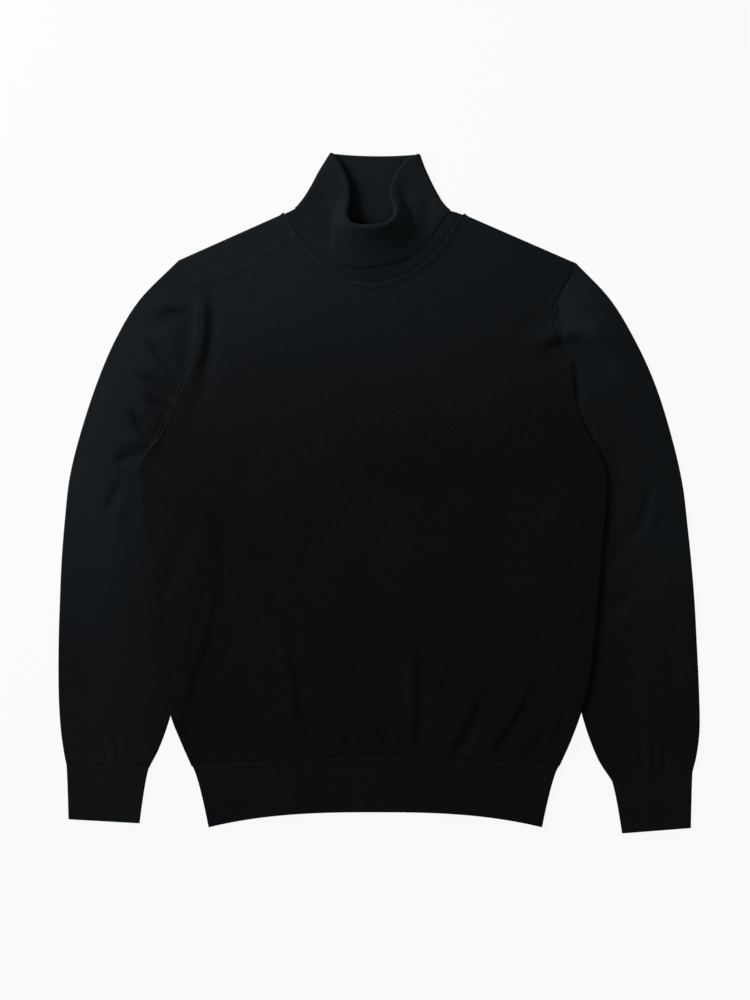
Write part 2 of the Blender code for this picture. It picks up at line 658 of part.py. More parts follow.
def collar_stand():
    """Standing layer of the collar as rows from the neck seam to the roll, and its layer step."""
    tip = {side: np.array(COLLAR_SIDE[side][:1], float) for side in SIDE}
    front_seam, back_seam = neck_front_points(), neck_back_points()
    to_corner = np.abs(np.linspace(-1, 1, NECK_CELLS + 1)) ** COLLAR_CORNER_POWER
    gap = (COLLAR_SEAM_GAP + COLLAR_CORNER_GAP * to_corner)[:, None]
    front_seam += left_normal(front_seam) * gap
    back_seam += left_normal(back_seam) * gap
    front_base = refined(np.vstack([tip["right"], front_seam, tip["left"]]), COLLAR_FRONT_CELLS)
    back_base = np.vstack([tip["right"], back_seam[1:-1], tip["left"]])
    steps = np.linalg.norm(np.diff(front_base, axis=0), axis=1)
    lengths = np.concatenate(([0.0], np.cumsum(steps)))
    w = lengths / lengths[-1]
    rise, roll, bare = collar_table(w)
    crest = smooth_path(CREST_FRONT, w)
    back_w = np.linspace(0, 1, len(back_base))
    back_crest = smooth_path(CREST_BACK, back_w)
    back_roll = np.full(len(back_w), COLLAR_FRONT[0][2])
    back_bare = np.full(len(back_w), COLLAR_BACK_BARE)
    front_v, back_v = stand_rows(bare), stand_rows(back_bare)
    front = drawn_to_crest(front_base, crest, w, front_v)
    back = patch(back_base[None], back_crest[None], smooth_path(COLLAR_SIDE["right"], back_v),
                 smooth_path(COLLAR_SIDE["left"], back_v), np.broadcast_to(back_w, back_v.shape),
                 back_v)
    back_level, back_step = stand_level(back_v, back_bare, back_roll)
    front_back_level, front_step = stand_level(front_v, bare, roll)
    flat_roll = stand_level(front_v, bare, np.full(len(w), COLLAR_FRONT[0][2]))[0]
    late = front_v ** COLLAR_RISE_POWER
    rising = front_v * COLLAR_EVEN_RISE + late * (1 - COLLAR_EVEN_RISE)
    front_level = flat_roll + 2 * COLLAR_SIDE_RADIUS + rise * rising
    tips, outs = {}, {}
    for side, end in (("right", 0), ("left", -1)):
        tip = smooth_path(COLLAR_SIDE[side], front_v[:, end])
        outs[side] = left_normal(tip) * (1 if side == "right" else -1)
        tips[side] = tip
        inset = tip - outs[side] * COLLAR_SIDE_RADIUS
        front[:, end] = inset
        back[:, end] = inset
        back_level[:, end] = front_level[:, end] - 2 * COLLAR_SIDE_RADIUS
    upper_wall = np.dstack([front, front_level])
    lower_wall = np.dstack([back, back_level])[:, ::-1]
    far = fold_arc(tips["left"], outs["left"], back_level[:, -1], front_level[:, -1], FOLD_TURNS)
    near = fold_arc(tips["right"], outs["right"], back_level[:, 0], front_level[:, 0],
                    FOLD_TURNS[::-1])
    stand = np.concatenate([upper_wall, far, lower_wall, near], axis=1)
    far_step = np.repeat(front_step[:, -1:], len(FOLD_TURNS), axis=1)
    near_step = np.repeat(front_step[:, :1], len(FOLD_TURNS), axis=1)
    step = np.concatenate([front_step, far_step, back_step[:, ::-1], near_step], axis=1)
    return stand, step


def drawn_to_crest(base, crest, w, v):
    """Plan of the front of the stand: each line from the neck seam meets the crest squarely."""
    away = -left_normal(crest)
    reach = np.linalg.norm(crest - base, axis=1, keepdims=True) * CREST_APPROACH
    first = base + (crest - base) * CREST_DEPARTURE
    second = crest + away * reach
    t = v[..., None]
    line = ((1 - t) ** 3 * base + 3 * (1 - t) ** 2 * t * first + 3 * (1 - t) * t * t * second
            + t ** 3 * crest)
    for side, column, share in (("right", 0, 1 - w), ("left", -1, w)):
        change = smooth_path(COLLAR_SIDE[side], v[:, column]) - line[:, column]
        line = line + change[:, None] * (share ** COLLAR_SIDE_POWER)[:, None]
    return line


def grid_normals(points):
    """Unit normals of a grid that closes on itself along its rows."""
    across = np.roll(points, -1, axis=1) - np.roll(points, 1, axis=1)
    up = np.gradient(points, axis=0)
    normal = np.cross(across, up)
    return normal / np.linalg.norm(normal, axis=2, keepdims=True)


def build_collar(material):
    """Folded tube: up the stand, over the roll and down the outer layer to its free edge."""
    stand, step = collar_stand()
    out = grid_normals(stand)
    outer = stand + out * step[..., None]
    top, normal, radius = stand[-1], out[-1], step[-1][:, None] / 2
    way = np.roll(top, -1, axis=0) - np.roll(top, 1, axis=0)
    rising = np.cross(normal, way)
    rising /= np.linalg.norm(rising, axis=1, keepdims=True)
    centre = top + normal * radius
    roll = [centre + radius * (np.sin(turn) * rising - np.cos(turn) * normal)
            for turn in ROLL_TURNS]
    covered = outer[len(BARE_ROWS) - 1:]
    profile = np.concatenate([stand, np.stack(roll), covered[::-1]])
    shell("collar", profile, RIB_WALL, material, around=True)


def main():
    """Clear the scene and build the eight pieces."""
    for old in list(bpy.data.objects):
        bpy.data.objects.remove(old, do_unlink=True)
    front_top = build_front(wool("front_jersey", BLACK_JERSEY))
    build_back(front_top, wool("back_jersey", BLACK_JERSEY))
    for side in SIDE:
        seam = build_sleeve(side, wool(f"sleeve_{side}_jersey", BLACK_JERSEY))
        build_cuff(side, seam, wool(f"cuff_{side}_rib", BLACK_RIB))
    build_hem(wool("hem_rib_cloth", BLACK_RIB))
    build_collar(wool("collar_rib", BLACK_RIB))


if __name__ == "__main__":
    main()
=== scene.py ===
"""Looks of a black turtleneck sweater of fine wool knit, laid flat with its arms at its sides.

The form is worked out in millimetres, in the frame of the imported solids: +X to the wearer's left,
+Y from the hem to the collar and +Z up out of the front.  Each piece is a thin closed wall round a
middle surface, and each middle surface is a function of two parameters on a grid.
"""

import logging
from collections.abc import Callable, Iterator, Sequence
from dataclasses import dataclass, field
from enum import Enum

import bpy
import numpy as np
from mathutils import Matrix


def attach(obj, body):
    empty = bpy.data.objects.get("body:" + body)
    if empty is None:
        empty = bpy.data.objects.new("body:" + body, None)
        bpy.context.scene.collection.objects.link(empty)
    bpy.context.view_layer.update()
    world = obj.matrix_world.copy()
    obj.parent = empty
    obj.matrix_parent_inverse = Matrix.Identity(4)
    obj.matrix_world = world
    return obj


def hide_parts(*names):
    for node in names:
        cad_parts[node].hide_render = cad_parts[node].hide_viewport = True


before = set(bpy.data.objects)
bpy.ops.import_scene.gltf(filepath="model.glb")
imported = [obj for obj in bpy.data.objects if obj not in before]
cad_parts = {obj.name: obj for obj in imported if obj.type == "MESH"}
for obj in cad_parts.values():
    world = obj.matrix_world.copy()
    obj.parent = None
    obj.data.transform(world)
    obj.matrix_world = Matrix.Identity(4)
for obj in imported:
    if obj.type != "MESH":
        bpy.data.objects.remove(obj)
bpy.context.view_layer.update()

LOG = logging.getLogger("sweater")
MM = 0.001
# How much closer together the cells lie at an edge
CLOSER = 0.65
# Edges sharper than this are shaded as edges
RIM_ANGLE = np.radians(60)
FLOOR_GAP = 0.0004
WHITE = (1.0, 1.0, 1.0, 1.0)

Array = np.ndarray
HeightAt = Callable[[Array, Array], Array]
Pair = tuple[float, float]
Triple = tuple[float, float, float]
Quadruple = tuple[float, float, float, float]
Points = Sequence[tuple[float, ...]]


class Side(Enum):
    """The wearer's side of a piece."""

    RIGHT = "right"
    LEFT = "left"

    @property
    def outward(self) -> int:
        """Sign of X on the way out from the middle of the body."""
        return -1 if self is Side.RIGHT else 1

    @property
    def column(self) -> int:
        """End column on this side of a grid whose columns run from right to left."""
        return 0 if self is Side.RIGHT else -1


class Slot(Enum):
    """Material slots of the record."""

    JERSEY = "jersey"
    RIB = "rib"


def each_side(right: object, left: object) -> dict[Side, object]:
    """Field of a dataclass that holds one value for each side."""
    return field(default_factory=lambda: {Side.RIGHT: right, Side.LEFT: left})


# Curves and surfaces

def hermite(points: Array, knots: Array, place: Array) -> Array:
    """Cubic through the points at the knots, with central slopes.

    Args:
        points: one row for each knot.
        knots: rising parameter values.
        place: parameters at which the curve is wanted.

    Returns:
        One row of coordinates for each place.
    """
    slopes = np.gradient(points, knots, axis=0)
    place = np.asarray(place, float)
    low = np.clip(np.searchsorted(knots, place, side="right") - 1, 0, len(knots) - 2)
    span = (knots[low + 1] - knots[low])[..., None]
    t = (place - knots[low])[..., None] / span
    return (points[low] * (1 + 2 * t) * (1 - t) ** 2 + slopes[low] * span * t * (1 - t) ** 2
            + points[low + 1] * t * t * (3 - 2 * t) + slopes[low + 1] * span * t * t * (t - 1))


def smooth_path(points: Points, place: Array) -> Array:
    """Points on a smooth curve through the given ones.

    Args:
        points: places that the curve passes, x and y.
        place: share of the length, from 0 to 1.

    Returns:
        One row of coordinates for each place.
    """
    corners = np.asarray(points, float)
    return hermite(corners, length_shares(corners[:, :2]), place)


def patch(bottom: Array, top: Array, left: Array, right: Array, u: Array, v: Array) -> Array:
    """Coons patch: the two ruled blends of opposite edges, less the blend of the four corners.

    Args:
        bottom, top: edges that run along u.
        left, right: edges that run along v.
        u, v: parameters from 0 to 1.

    Returns:
        Grid of coordinates.
    """
    u = np.asarray(u, float)[..., None]
    v = np.asarray(v, float)[..., None]
    ruled = (1 - v) * bottom + v * top + (1 - u) * left + u * right
    corners = ((1 - u) * (1 - v) * bottom[..., :1, :] + u * (1 - v) * bottom[..., -1:, :]
               + (1 - u) * v * top[..., :1, :] + u * v * top[..., -1:, :])
    return ruled - corners


def ramp(value: Array, low: float, high: float) -> Array:
    """Soft step from 0 at low to 1 at high: 3 t squared less 2 t cubed."""
    t = np.clip((value - low) / (high - low), 0.0, 1.0)
    return t * t * (3 - 2 * t)


def unit(vectors: Array) -> Array:
    """Vectors scaled to length 1."""
    return vectors / np.linalg.norm(vectors, axis=-1, keepdims=True)


def stretches(line: Array, x: Array, y: Array) -> Iterator[tuple[Array, Array]]:
    """Nearest place on each stretch of a broken line: its share of the stretch, and the distance.

    Args:
        line: corners of the line.
        x, y: places.

    Yields:
        Two arrays for each stretch, with a value for each place.
    """
    for start, end in zip(line[:-1], line[1:]):
        along = end - start
        t = ((x - start[0]) * along[0] + (y - start[1]) * along[1]) / (along @ along)
        t = np.clip(t, 0.0, 1.0)
        yield t, np.hypot(x - start[0] - t * along[0], y - start[1] - t * along[1])


def distance_to(points: Points, x: Array, y: Array) -> Array:
    """Distance from each place to the broken line through the points, the least of any stretch."""
    best = np.full(np.shape(x), np.inf)
    for _, gap in stretches(np.asarray(points, float)[:, :2], x, y):
        best = np.minimum(best, gap)
    return best


def quarter_turn(vectors: Array) -> Array:
    """Vectors of the plan turned anticlockwise by a right angle."""
    return np.stack([-vectors[..., 1], vectors[..., 0]], axis=-1)


def left_normal(path: Array) -> Array:
    """Unit vectors a quarter turn anticlockwise from the way the path runs."""
    return quarter_turn(unit(np.gradient(path, axis=0)))


def outward_normal(path: Array, side: Side) -> Array:
    """Unit vectors square to a path up one side of the sweater, pointing away from its middle."""
    return left_normal(path) * -side.outward


def spaced(cells: int, start: float, end: float) -> Array:
    """Places from 0 to 1, closer together at the ends.

    The pace is 1 - start (1 - t)^3 - end t^3, summed from 0 and scaled to reach 1.

    Args:
        cells: number of steps.
        start, end: how much tighter the steps are at each end, from 0 to 1.

    Returns:
        The places, one more than the cells.
    """
    t = np.linspace(0, 1, cells + 1)
    place = t - start * (1 - (1 - t) ** 4) / 4 - end * t ** 4 / 4
    return place / place[-1]


def running_length(path: Array) -> Array:
    """Length of a path from its start to each of its points."""
    steps = np.linalg.norm(np.diff(path, axis=0), axis=1)
    return np.concatenate(([0.0], np.cumsum(steps)))


def length_shares(path: Array) -> Array:
    """Share of a path's length at each of its points."""
    length = running_length(path)
    return length / length[-1]


def ridge(distance: Array, centre: float, height: float, width: float) -> Array:
    """Bell-shaped rise whose top lies at one distance from a line."""
    return height * np.exp(-((distance - centre) / width) ** 2)


def falling(rows: Points, y: Array, column: int = 1) -> Array:
    """Value at y of a table whose first column is y, from high to low."""
    table = np.array(rows, float)[::-1]
    return np.interp(y, table[:, 0], table[:, column])


def ridges(distance: Array, rows: Points) -> Array:
    """Sum of bells, a row for each: distance of its top, height (below zero in a groove), width."""
    return sum(ridge(distance, *row) for row in rows)


@dataclass(frozen=True)
class Folds:
    """Soft folds, each a bell across its own bent line, fading at both ends.

    Each row holds start x, y, bend x, y, end x, y, height (a trough is below zero), half width.
    """

    rows: Points
    fade: float = 0.3
    least: float = 0.15
    turns: int = 14
    bell_reach: float = 3.0

    def relief(self, x: Array, y: Array) -> Array:
        """Height that the folds add: the sum over the rows of height times the bell.

        Args:
            x, y: places.

        Returns:
            Added height at each place.
        """
        height = np.zeros(np.shape(x))
        share = np.linspace(0.0, 1.0, self.turns)[:, None]
        for x0, y0, x1, y1, x2, y2, rise, width in self.rows:
            line = ((1 - share) ** 2 * (x0, y0) + 2 * share * (1 - share) * (x1, y1)
                    + share ** 2 * (x2, y2))
            reach = self.bell_reach * width
            low, high = line.min(axis=0) - reach, line.max(axis=0) + reach
            box = (x > low[0]) & (x < high[0]) & (y > low[1]) & (y < high[1])
            if box.any():
                height[box] += rise * self._bell(line, x[box], y[box], width)
        return height

    def _bell(self, line: Array, x: Array, y: Array, width: float) -> Array:
        """Greatest bell of any stretch: one across the line, times a fade towards its ends."""
        best = np.zeros(np.shape(x))
        for n, (t, gap) in enumerate(stretches(line, x, y)):
            place = (n + t) / (len(line) - 1)
            ends = np.clip(np.minimum(place, 1 - place) / self.fade, 0, 1)
            ends = self.least + (1 - self.least) * ends
            best = np.maximum(best, ends * np.exp(-(gap / width) ** 2))
        return best


@dataclass(frozen=True)
class Gathers:
    """Fine gathers beside a seam: two sines of x multiplied, dying away from the seam."""

    height: float
    pitch: float
    beat: float
    phases: Pair
    depth: float
    sway: Pair = (0.0, 1.0)

    def relief(self, x: Array, distance: Array | float) -> Array:
        """Height times sin(x / pitch + phase + sway) sin(x / beat + phase) e^-(distance / depth)^2.

        Args:
            x: places across the seam's length.
            distance: of each place from the seam.

        Returns:
            Added height at each place.
        """
        sway, length = self.sway
        fine = np.sin(x / self.pitch + self.phases[0] + sway * np.sin(x / length))
        coarse = np.sin(x / self.beat + self.phases[1])
        return self.height * fine * coarse * np.exp(-(distance / self.depth) ** 2)


# Pattern of the sweater

@dataclass(frozen=True)
class Pattern:
    """Seams and edges of the laid sweater, seen from above."""

    side: dict[Side, Points] = each_side(
        [(-213, -311), (-225, -284), (-237, -252), (-247, -193), (-255, -124), (-262, -59),
         (-269, -19), (-272.5, 26)],
        [(205, -311), (217, -284), (230, -248.5), (239, -211), (245, -168), (250, -111), (254, -59),
         (258.5, -14), (259, 20.5)])
    armhole: dict[Side, Points] = each_side(
        [(-272.5, 26), (-263.5, 45.5), (-251, 60), (-239, 82), (-229, 102.5), (-220, 123),
         (-214, 146), (-208.5, 169), (-206, 197), (-207.5, 218), (-214, 236)],
        [(259, 20.5), (251, 45), (237.5, 68), (227.5, 90), (222.5, 113), (221, 134), (216.5, 152),
         (207, 168), (200.5, 183), (199.5, 198), (201, 216), (208.5, 232.5)])
    shoulder_point: dict[Side, Pair] = each_side((-228, 264.5), (224.5, 261))
    neck_point: dict[Side, Pair] = each_side((-108, 318), (96, 317))
    forward_seam: dict[Side, Points] = each_side(
        [(-214, 236), (-204, 239), (-178, 244), (-158.5, 252), (-132, 269), (-109, 284),
         (-94.5, 293)],
        [(208.5, 232.5), (195, 238), (172, 251), (138, 270), (104, 288), (84.5, 301)])
    neck_front: Points = ((-94.5, 293), (-86.5, 282.5), (-69.5, 264.5), (-46.5, 248.5),
                          (-27.5, 240), (-10, 237), (7, 240), (35, 249), (58, 266), (71, 280),
                          (84.5, 301))
    neck_back: Points = ((-108, 318), (-56, 309), (-7, 304.5), (47, 308), (96, 317))
    # Sections from the armhole to the cuff seam: x, y of the outer edge, x, y of the inner edge
    sleeve: dict[Side, Points] = each_side(
        [(-228, 264.5, -272.5, 26), (-272, 220, -271.6, 24.2), (-299, 176, -271.0, 21.5),
         (-320.5, 126, -270.5, 18), (-339.5, 68, -269.5, 11), (-352, 17, -266, -2),
         (-357.5, -32, -252, -33), (-361, -76, -227, -66), (-363, -122, -211.5, -105),
         (-364.5, -172, -214, -152), (-364.5, -225, -226, -205), (-362.5, -264, -238.5, -255),
         (-359, -292, -250, -288), (-355.5, -310, -262, -312)],
        [(224.5, 261, 259, 20.5), (263, 220, 258.4, 18.5), (292, 172, 257.9, 15.5),
         (315, 121, 257.4, 12), (333, 63, 256.4, 5), (345, 11, 252.5, -8), (351, -38, 241, -38),
         (355.5, -82, 214.5, -71), (359, -125, 202.5, -111), (361.5, -172, 207.5, -152),
         (364, -225, 220, -206), (364.7, -268, 234.5, -262), (361.5, -297, 249, -301),
         (356.5, -318, 264.5, -326)])
    # Lower edge: x, y of the outer corner, x, y of the inner corner
    cuff: dict[Side, Quadruple] = each_side(
        (-353, -371.5, -273.5, -376), (354.5, -381.5, 277.5, -387.5))
    hem_corners: tuple[Pair, Pair] = ((-193.5, -380.5), (185, -380.5))
    hem_sagitta: float = 17.0
    hem_power: float = 2.7
    hem_seam_sagitta: float = 10.0
    hem_seam_power: float = 1.5

    def sagging_line(self, corners: Points, sagitta: float, power: float, u: Array) -> Array:
        """Line between two corners that rises by sagitta times (1 - |2u - 1| to a power)."""
        start, end = np.asarray(corners, float)
        line = start + (end - start) * u[:, None]
        line[:, 1] += sagitta * (1 - np.abs(2 * u - 1) ** power)
        return line

    def hem_seam(self, u: Array) -> Array:
        """Seam between the body and the hem rib, from right to left."""
        corners = (self.side[Side.RIGHT][0], self.side[Side.LEFT][0])
        return self.sagging_line(corners, self.hem_seam_sagitta, self.hem_seam_power, u)

    def hem_edge(self, u: Array) -> Array:
        """Lower edge of the hem rib, from right to left."""
        return self.sagging_line(self.hem_corners, self.hem_sagitta, self.hem_power, u)

    def armhole_points(self, side: Side, cells: int, flap_cells: int) -> Array:
        """Seam points from the underarm to the forward seam, then on to the shoulder fold."""
        main = smooth_path(self.armhole[side], spaced(cells, 0.0, CLOSER))
        tip = np.linspace(main[-1], self.shoulder_point[side], flap_cells + 1)
        return np.vstack([main, tip[1:]])


PATTERN = Pattern()


# Heights of the layers

@dataclass(frozen=True)
class Layers:
    """How the layers lie on each other: heights are to the middle of each wall."""

    jersey: float = 1.2
    rib: float = 1.6
    gap: float = 0.35
    loft: float = 1.4
    pressed: float = 2.0
    sleeve_relief: float = 1.0
    least_loft: float = 0.15
    most_loft: float = 7.5
    lift_full: float = 9.0
    lift_none: float = 22.0
    lift_below_underarm: float = 17.0
    drape_onset: float = 42.0
    arm_half: float = 60.0
    sleeve_clear: Pair = (14.0, 34.0)

    @property
    def back(self) -> float:
        """Level of the back panel on the table."""
        return self.jersey / 2

    @property
    def step(self) -> float:
        """Rise from the back panel to the front panel."""
        return self.jersey + self.gap + self.loft

    @property
    def edge_radius(self) -> float:
        """Radius of the turned side edges."""
        return self.step / 2

    @property
    def sleeve_top(self) -> float:
        """Level of a sleeve's upper wall where the body presses it flat."""
        return self.back + self.pressed

    @property
    def lift(self) -> float:
        """Height that a sleeve below it gives to the body."""
        return self.sleeve_top + self.jersey / 2 + self.gap

    def over_arm(self, side: Side, line: Array, reach: Pair, onset: float,
                 x: Array, y: Array) -> Array:
        """Share of a sleeve's height that the cloth above it takes.

        Args:
            side: the sleeve.
            line: its inner edge.
            reach: distances from the edge at which the share begins to fall and ends.
            onset: depth below the underarm at which the share begins.
            x, y: places.

        Returns:
            Share at each place: 1 over the sleeve, falling to 0 beyond its edge.
        """
        edge_x = np.interp(-y, -line[:, 1], line[:, 0])
        beyond = np.where((x - edge_x) * side.outward > 0, 0.0, distance_to(line, x, y))
        below = PATTERN.side[side][-1][1] - y
        return (ramp(x * side.outward, 0.0, self.arm_half) * (1 - ramp(beyond, *reach))
                * ramp(below, onset, self.lift_below_underarm))

    def body_lift(self, x: Array, y: Array) -> Array:
        """Height that the two sleeves under the body give it."""
        return self.lift * sum(
            self.over_arm(side, np.array(PATTERN.sleeve[side], float)[4:, 2:],
                          (self.lift_full, self.lift_none), 0.0, x, y) for side in Side)

    def drape(self, x: Array, y: Array) -> Array:
        """Height that the front panel takes over the hidden sleeves: wider than the back's."""
        lift = sum(self.over_arm(side, np.array(line, float), reach, -self.drape_onset, x, y)
                   for side, (line, reach) in DRAPES.items())
        return np.maximum(self.lift * lift, self.body_lift(x, y))

    def back_height(self, x: Array, y: Array) -> Array:
        """Back panel: flat on the table, lifted where a sleeve lies below it."""
        return self.back + self.body_lift(x, y)


LAYERS = Layers()
# Inner edge of each sleeve as it shows through the front, and where its lift falls from and to
DRAPES: dict[Side, tuple[Points, Pair]] = {
    Side.RIGHT: ([(-251, 60), (-263, 45), (-272, 26), (-218, 2), (-197, -25), (-188, -55),
                  (-190, -90), (-196, -130), (-205, -172), (-217, -205), (-233, -250),
                  (-246, -300)], (1.0, 13.0)),
    Side.LEFT: ([(236, 71), (251, 48), (258, 20), (241, -38), (214.5, -71), (202.5, -111),
                 (207.5, -152), (220, -206), (234.5, -262), (249, -301)], (9.0, 66.0)),
}


# Objects and closed walls

def add_object(name: str, data: bpy.types.ID) -> bpy.types.Object:
    """New object of the scene, at the origin."""
    made = bpy.data.objects.new(name, data)
    bpy.context.scene.collection.objects.link(made)
    return made


def new_material(name: str) -> tuple[bpy.types.Material, bpy.types.ShaderNode]:
    """New material and its Principled node."""
    material = bpy.data.materials.new(name)
    material.use_nodes = True
    return material, material.node_tree.nodes["Principled BSDF"]


@dataclass(frozen=True)
class Grid:
    """Middle surface of a wall, points[row, column] in millimetres, with its cloth coordinates.

    across and along give the cloth coordinate of each column and row, in millimetres; around
    joins the last column to the first; cells says which cells exist.
    """

    points: Array
    across: Array
    along: Array
    around: bool = False
    cells: Array | None = None

    @classmethod
    def tube(cls, points: Array, flip: bool = False) -> "Grid":
        """Grid whose rows close on themselves; flip runs them the other way round."""
        points = points[:, ::-1] if flip else points
        return cls(points, around_lengths(points), lengths_along(points, 0), around=True)

    def wall(self, name: str, thickness: float | Array,
             material: bpy.types.Material) -> bpy.types.Object:
        """Closed wall centred on the grid: each point moves half the thickness along its normal.

        Args:
            name: name of the new object.
            thickness: of the wall in millimetres, for all of it or for each row.
            material: finish of the piece.

        Returns:
            The object, at the origin, in metres.
        """
        rows, cols = self.points.shape[:2]
        spans = cols if self.around else cols - 1
        cells = np.ones((rows - 1, spans), bool) if self.cells is None else self.cells
        i, j = np.nonzero(cells)
        k = (j + 1) % cols
        quads = np.stack([i * cols + j, i * cols + k, (i + 1) * cols + k, (i + 1) * cols + j], 1)
        middle = self.points.reshape(-1, 3)
        facing = np.cross(middle[quads[:, 2]] - middle[quads[:, 0]],
                          middle[quads[:, 3]] - middle[quads[:, 1]])
        normal = np.zeros_like(middle)
        for corner in range(4):
            np.add.at(normal, quads[:, corner], facing)
        used = np.unique(quads)
        index = np.full(len(middle), -1)
        index[used] = np.arange(len(used))
        depth = np.broadcast_to(np.reshape(thickness, (-1, 1)), (rows, cols)).reshape(-1, 1)
        half = unit(normal[used]) * depth[used] / 2
        vertices = np.vstack([middle[used] + half, middle[used] - half]) * MM
        quads = index[quads]
        uv = np.stack([np.stack([self.across[j + right], self.along[i + up]], 1)
                       for right, up in ((0, 0), (1, 0), (1, 1), (0, 1))], 1) * MM
        rim_faces, rim_uv = self._rim(quads, uv, len(used))
        faces = np.vstack([quads, quads[:, ::-1] + len(used), rim_faces])
        loops_uv = np.vstack([uv, uv[:, ::-1], rim_uv]).reshape(-1, 2)
        mesh = bpy.data.meshes.new(name)
        mesh.vertices.add(len(vertices))
        mesh.vertices.foreach_set("co", vertices.astype(np.float32).ravel())
        mesh.loops.add(faces.size)
        mesh.loops.foreach_set("vertex_index", faces.astype(np.int32).ravel())
        mesh.polygons.add(len(faces))
        mesh.polygons.foreach_set("loop_start", np.arange(0, faces.size, 4, dtype=np.int32))
        mesh.update(calc_edges=True)
        mesh.uv_layers.new(name="cloth").data.foreach_set("uv", loops_uv.astype(np.float32).ravel())
        mesh.materials.append(material)
        mesh.shade_smooth()
        mesh.set_sharp_from_angle(angle=RIM_ANGLE)
        return add_object(name, mesh)

    @staticmethod
    def _rim(quads: Array, uv: Array, inner: int) -> tuple[Array, Array]:
        """Faces that close the wall along its free edges, and their cloth coordinates."""
        start = quads.ravel()
        end = np.roll(quads, -1, axis=1).ravel()
        size = int(quads.max()) + 1
        free = ~np.isin(start * size + end, end * size + start)
        start, end = start[free], end[free]
        start_uv = uv.reshape(-1, 2)[free]
        end_uv = np.roll(uv, -1, axis=1).reshape(-1, 2)[free]
        faces = np.stack([end, start, start + inner, end + inner], 1)
        return faces, np.stack([end_uv, start_uv, start_uv, end_uv], 1)


def lengths_along(points: Array, axis: int) -> Array:
    """Mean running length of a grid along one of its two parameters."""
    steps = np.linalg.norm(np.diff(points, axis=axis), axis=2).mean(axis=1 - axis)
    return np.concatenate(([0.0], np.cumsum(steps)))


def around_lengths(points: Array) -> Array:
    """Mean running length round a grid that closes on itself, with its end repeated."""
    closed = np.concatenate([points, points[:, :1]], axis=1)
    return lengths_along(closed, 1)


def fold_arc(tip: Array, out: Array, start: Array, end: Array, turns: Array) -> Array:
    """Half circle round a folded edge, from one wall to the other.

    Args:
        tip: farthest points of the fold in the plan.
        out: unit vectors from the piece out to them.
        start, end: levels of the wall that the fold comes from and of the one it goes to.
        turns: angles of the points of the half circle.

    Returns:
        Grid with a row for each tip and a column for each angle.
    """
    radius = (end - start) / 2
    centre = tip - out * np.abs(radius)[:, None]
    reach = np.abs(radius)[:, None, None] * np.sin(turns)[None, :, None]
    place = centre[:, None] + out[:, None] * reach
    level = ((end + start) / 2)[:, None] - radius[:, None] * np.cos(turns)[None]
    return np.concatenate([place, level[..., None]], axis=2)


def edge_normal(path: Array, inside: Array) -> Array:
    """Unit vectors square to an edge path, pointing away from the points inside it."""
    normal = left_normal(path)
    middle = len(path) // 2
    return normal * np.sign((path[middle] - inside[middle]) @ normal[middle])


def close_tube(upper: Array, lower: Array, folds: Sequence[tuple[Array, Array]],
               turns: int) -> Array:
    """Grid of a flattened tube: upper wall, far fold, lower wall and near fold.

    Args:
        upper, lower: points of the two walls, a row for each section.
        folds: of the near and the far fold, the farthest points and the unit vectors outwards.
        turns: points round each fold.

    Returns:
        Grid that closes on itself along its rows.
    """
    angles = np.linspace(0, np.pi, turns + 2)[1:-1]
    near = fold_arc(*folds[0], lower[:, 0, 2], upper[:, 0, 2], angles)
    far = fold_arc(*folds[1], upper[:, -1, 2], lower[:, -1, 2], angles)
    return np.concatenate([upper, far, lower[:, ::-1], near], axis=1)


def flat_tube(plan: Array, top: Array, bottom: Array, first: Array, last: Array,
              turns: int) -> Array:
    """Grid of a flattened tube whose two walls have the same plan.

    Args:
        plan: x and y of the upper wall's points, a row for each section.
        top, bottom: levels of the two walls.
        first, last: paths of the folds' farthest points at the near and the far edge.
        turns: points round each fold.

    Returns:
        Grid that closes on itself along its rows.
    """
    plan = plan.copy()
    folds = [(first, edge_normal(first, plan[:, 1])), (last, edge_normal(last, plan[:, -2]))]
    for column, (tip, out) in zip((0, -1), folds):
        plan[:, column] = tip - out * ((top[:, column] - bottom[:, column]) / 2)[:, None]
    return close_tube(np.dstack([plan, top]), np.dstack([plan, bottom]), folds, turns)


# Shader maths

class Node:
    """A socket of a shader, with the sums that the finishes need."""

    def __init__(self, tree: bpy.types.NodeTree, socket: bpy.types.NodeSocket) -> None:
        """Wraps one output socket of a node tree."""
        self.tree = tree
        self.socket = socket

    def _math(self, operation: str, *values: "Node | float") -> "Node":
        """Adds a Math node that works on this socket and the values."""
        return Shader(self.tree).node("ShaderNodeMath", {"operation": operation},
                                      dict(enumerate((self, *values))))

    def __add__(self, other: "Node | float") -> "Node":
        """Sum."""
        return self._math("ADD", other)

    def __mul__(self, other: "Node | float") -> "Node":
        """Product."""
        return self._math("MULTIPLY", other)

    def __sub__(self, other: "Node | float") -> "Node":
        """Difference."""
        return self._math("SUBTRACT", other)

    def __rsub__(self, other: float) -> "Node":
        """Difference from a number."""
        return (self * -1.0) + other

    def __pow__(self, other: float) -> "Node":
        """Power."""
        return self._math("POWER", other)

    __radd__ = __add__
    __rmul__ = __mul__

    def above(self, other: float) -> "Node":
        """1 where the value is greater than the limit, and 0 elsewhere."""
        return self._math("GREATER_THAN", other)

    def below(self, other: float) -> "Node":
        """1 where the value is less than the limit, and 0 elsewhere."""
        return self._math("LESS_THAN", other)

    def sine(self) -> "Node":
        """Sine."""
        return self._math("SINE")

    def size(self) -> "Node":
        """Value without its sign."""
        return self._math("ABSOLUTE")


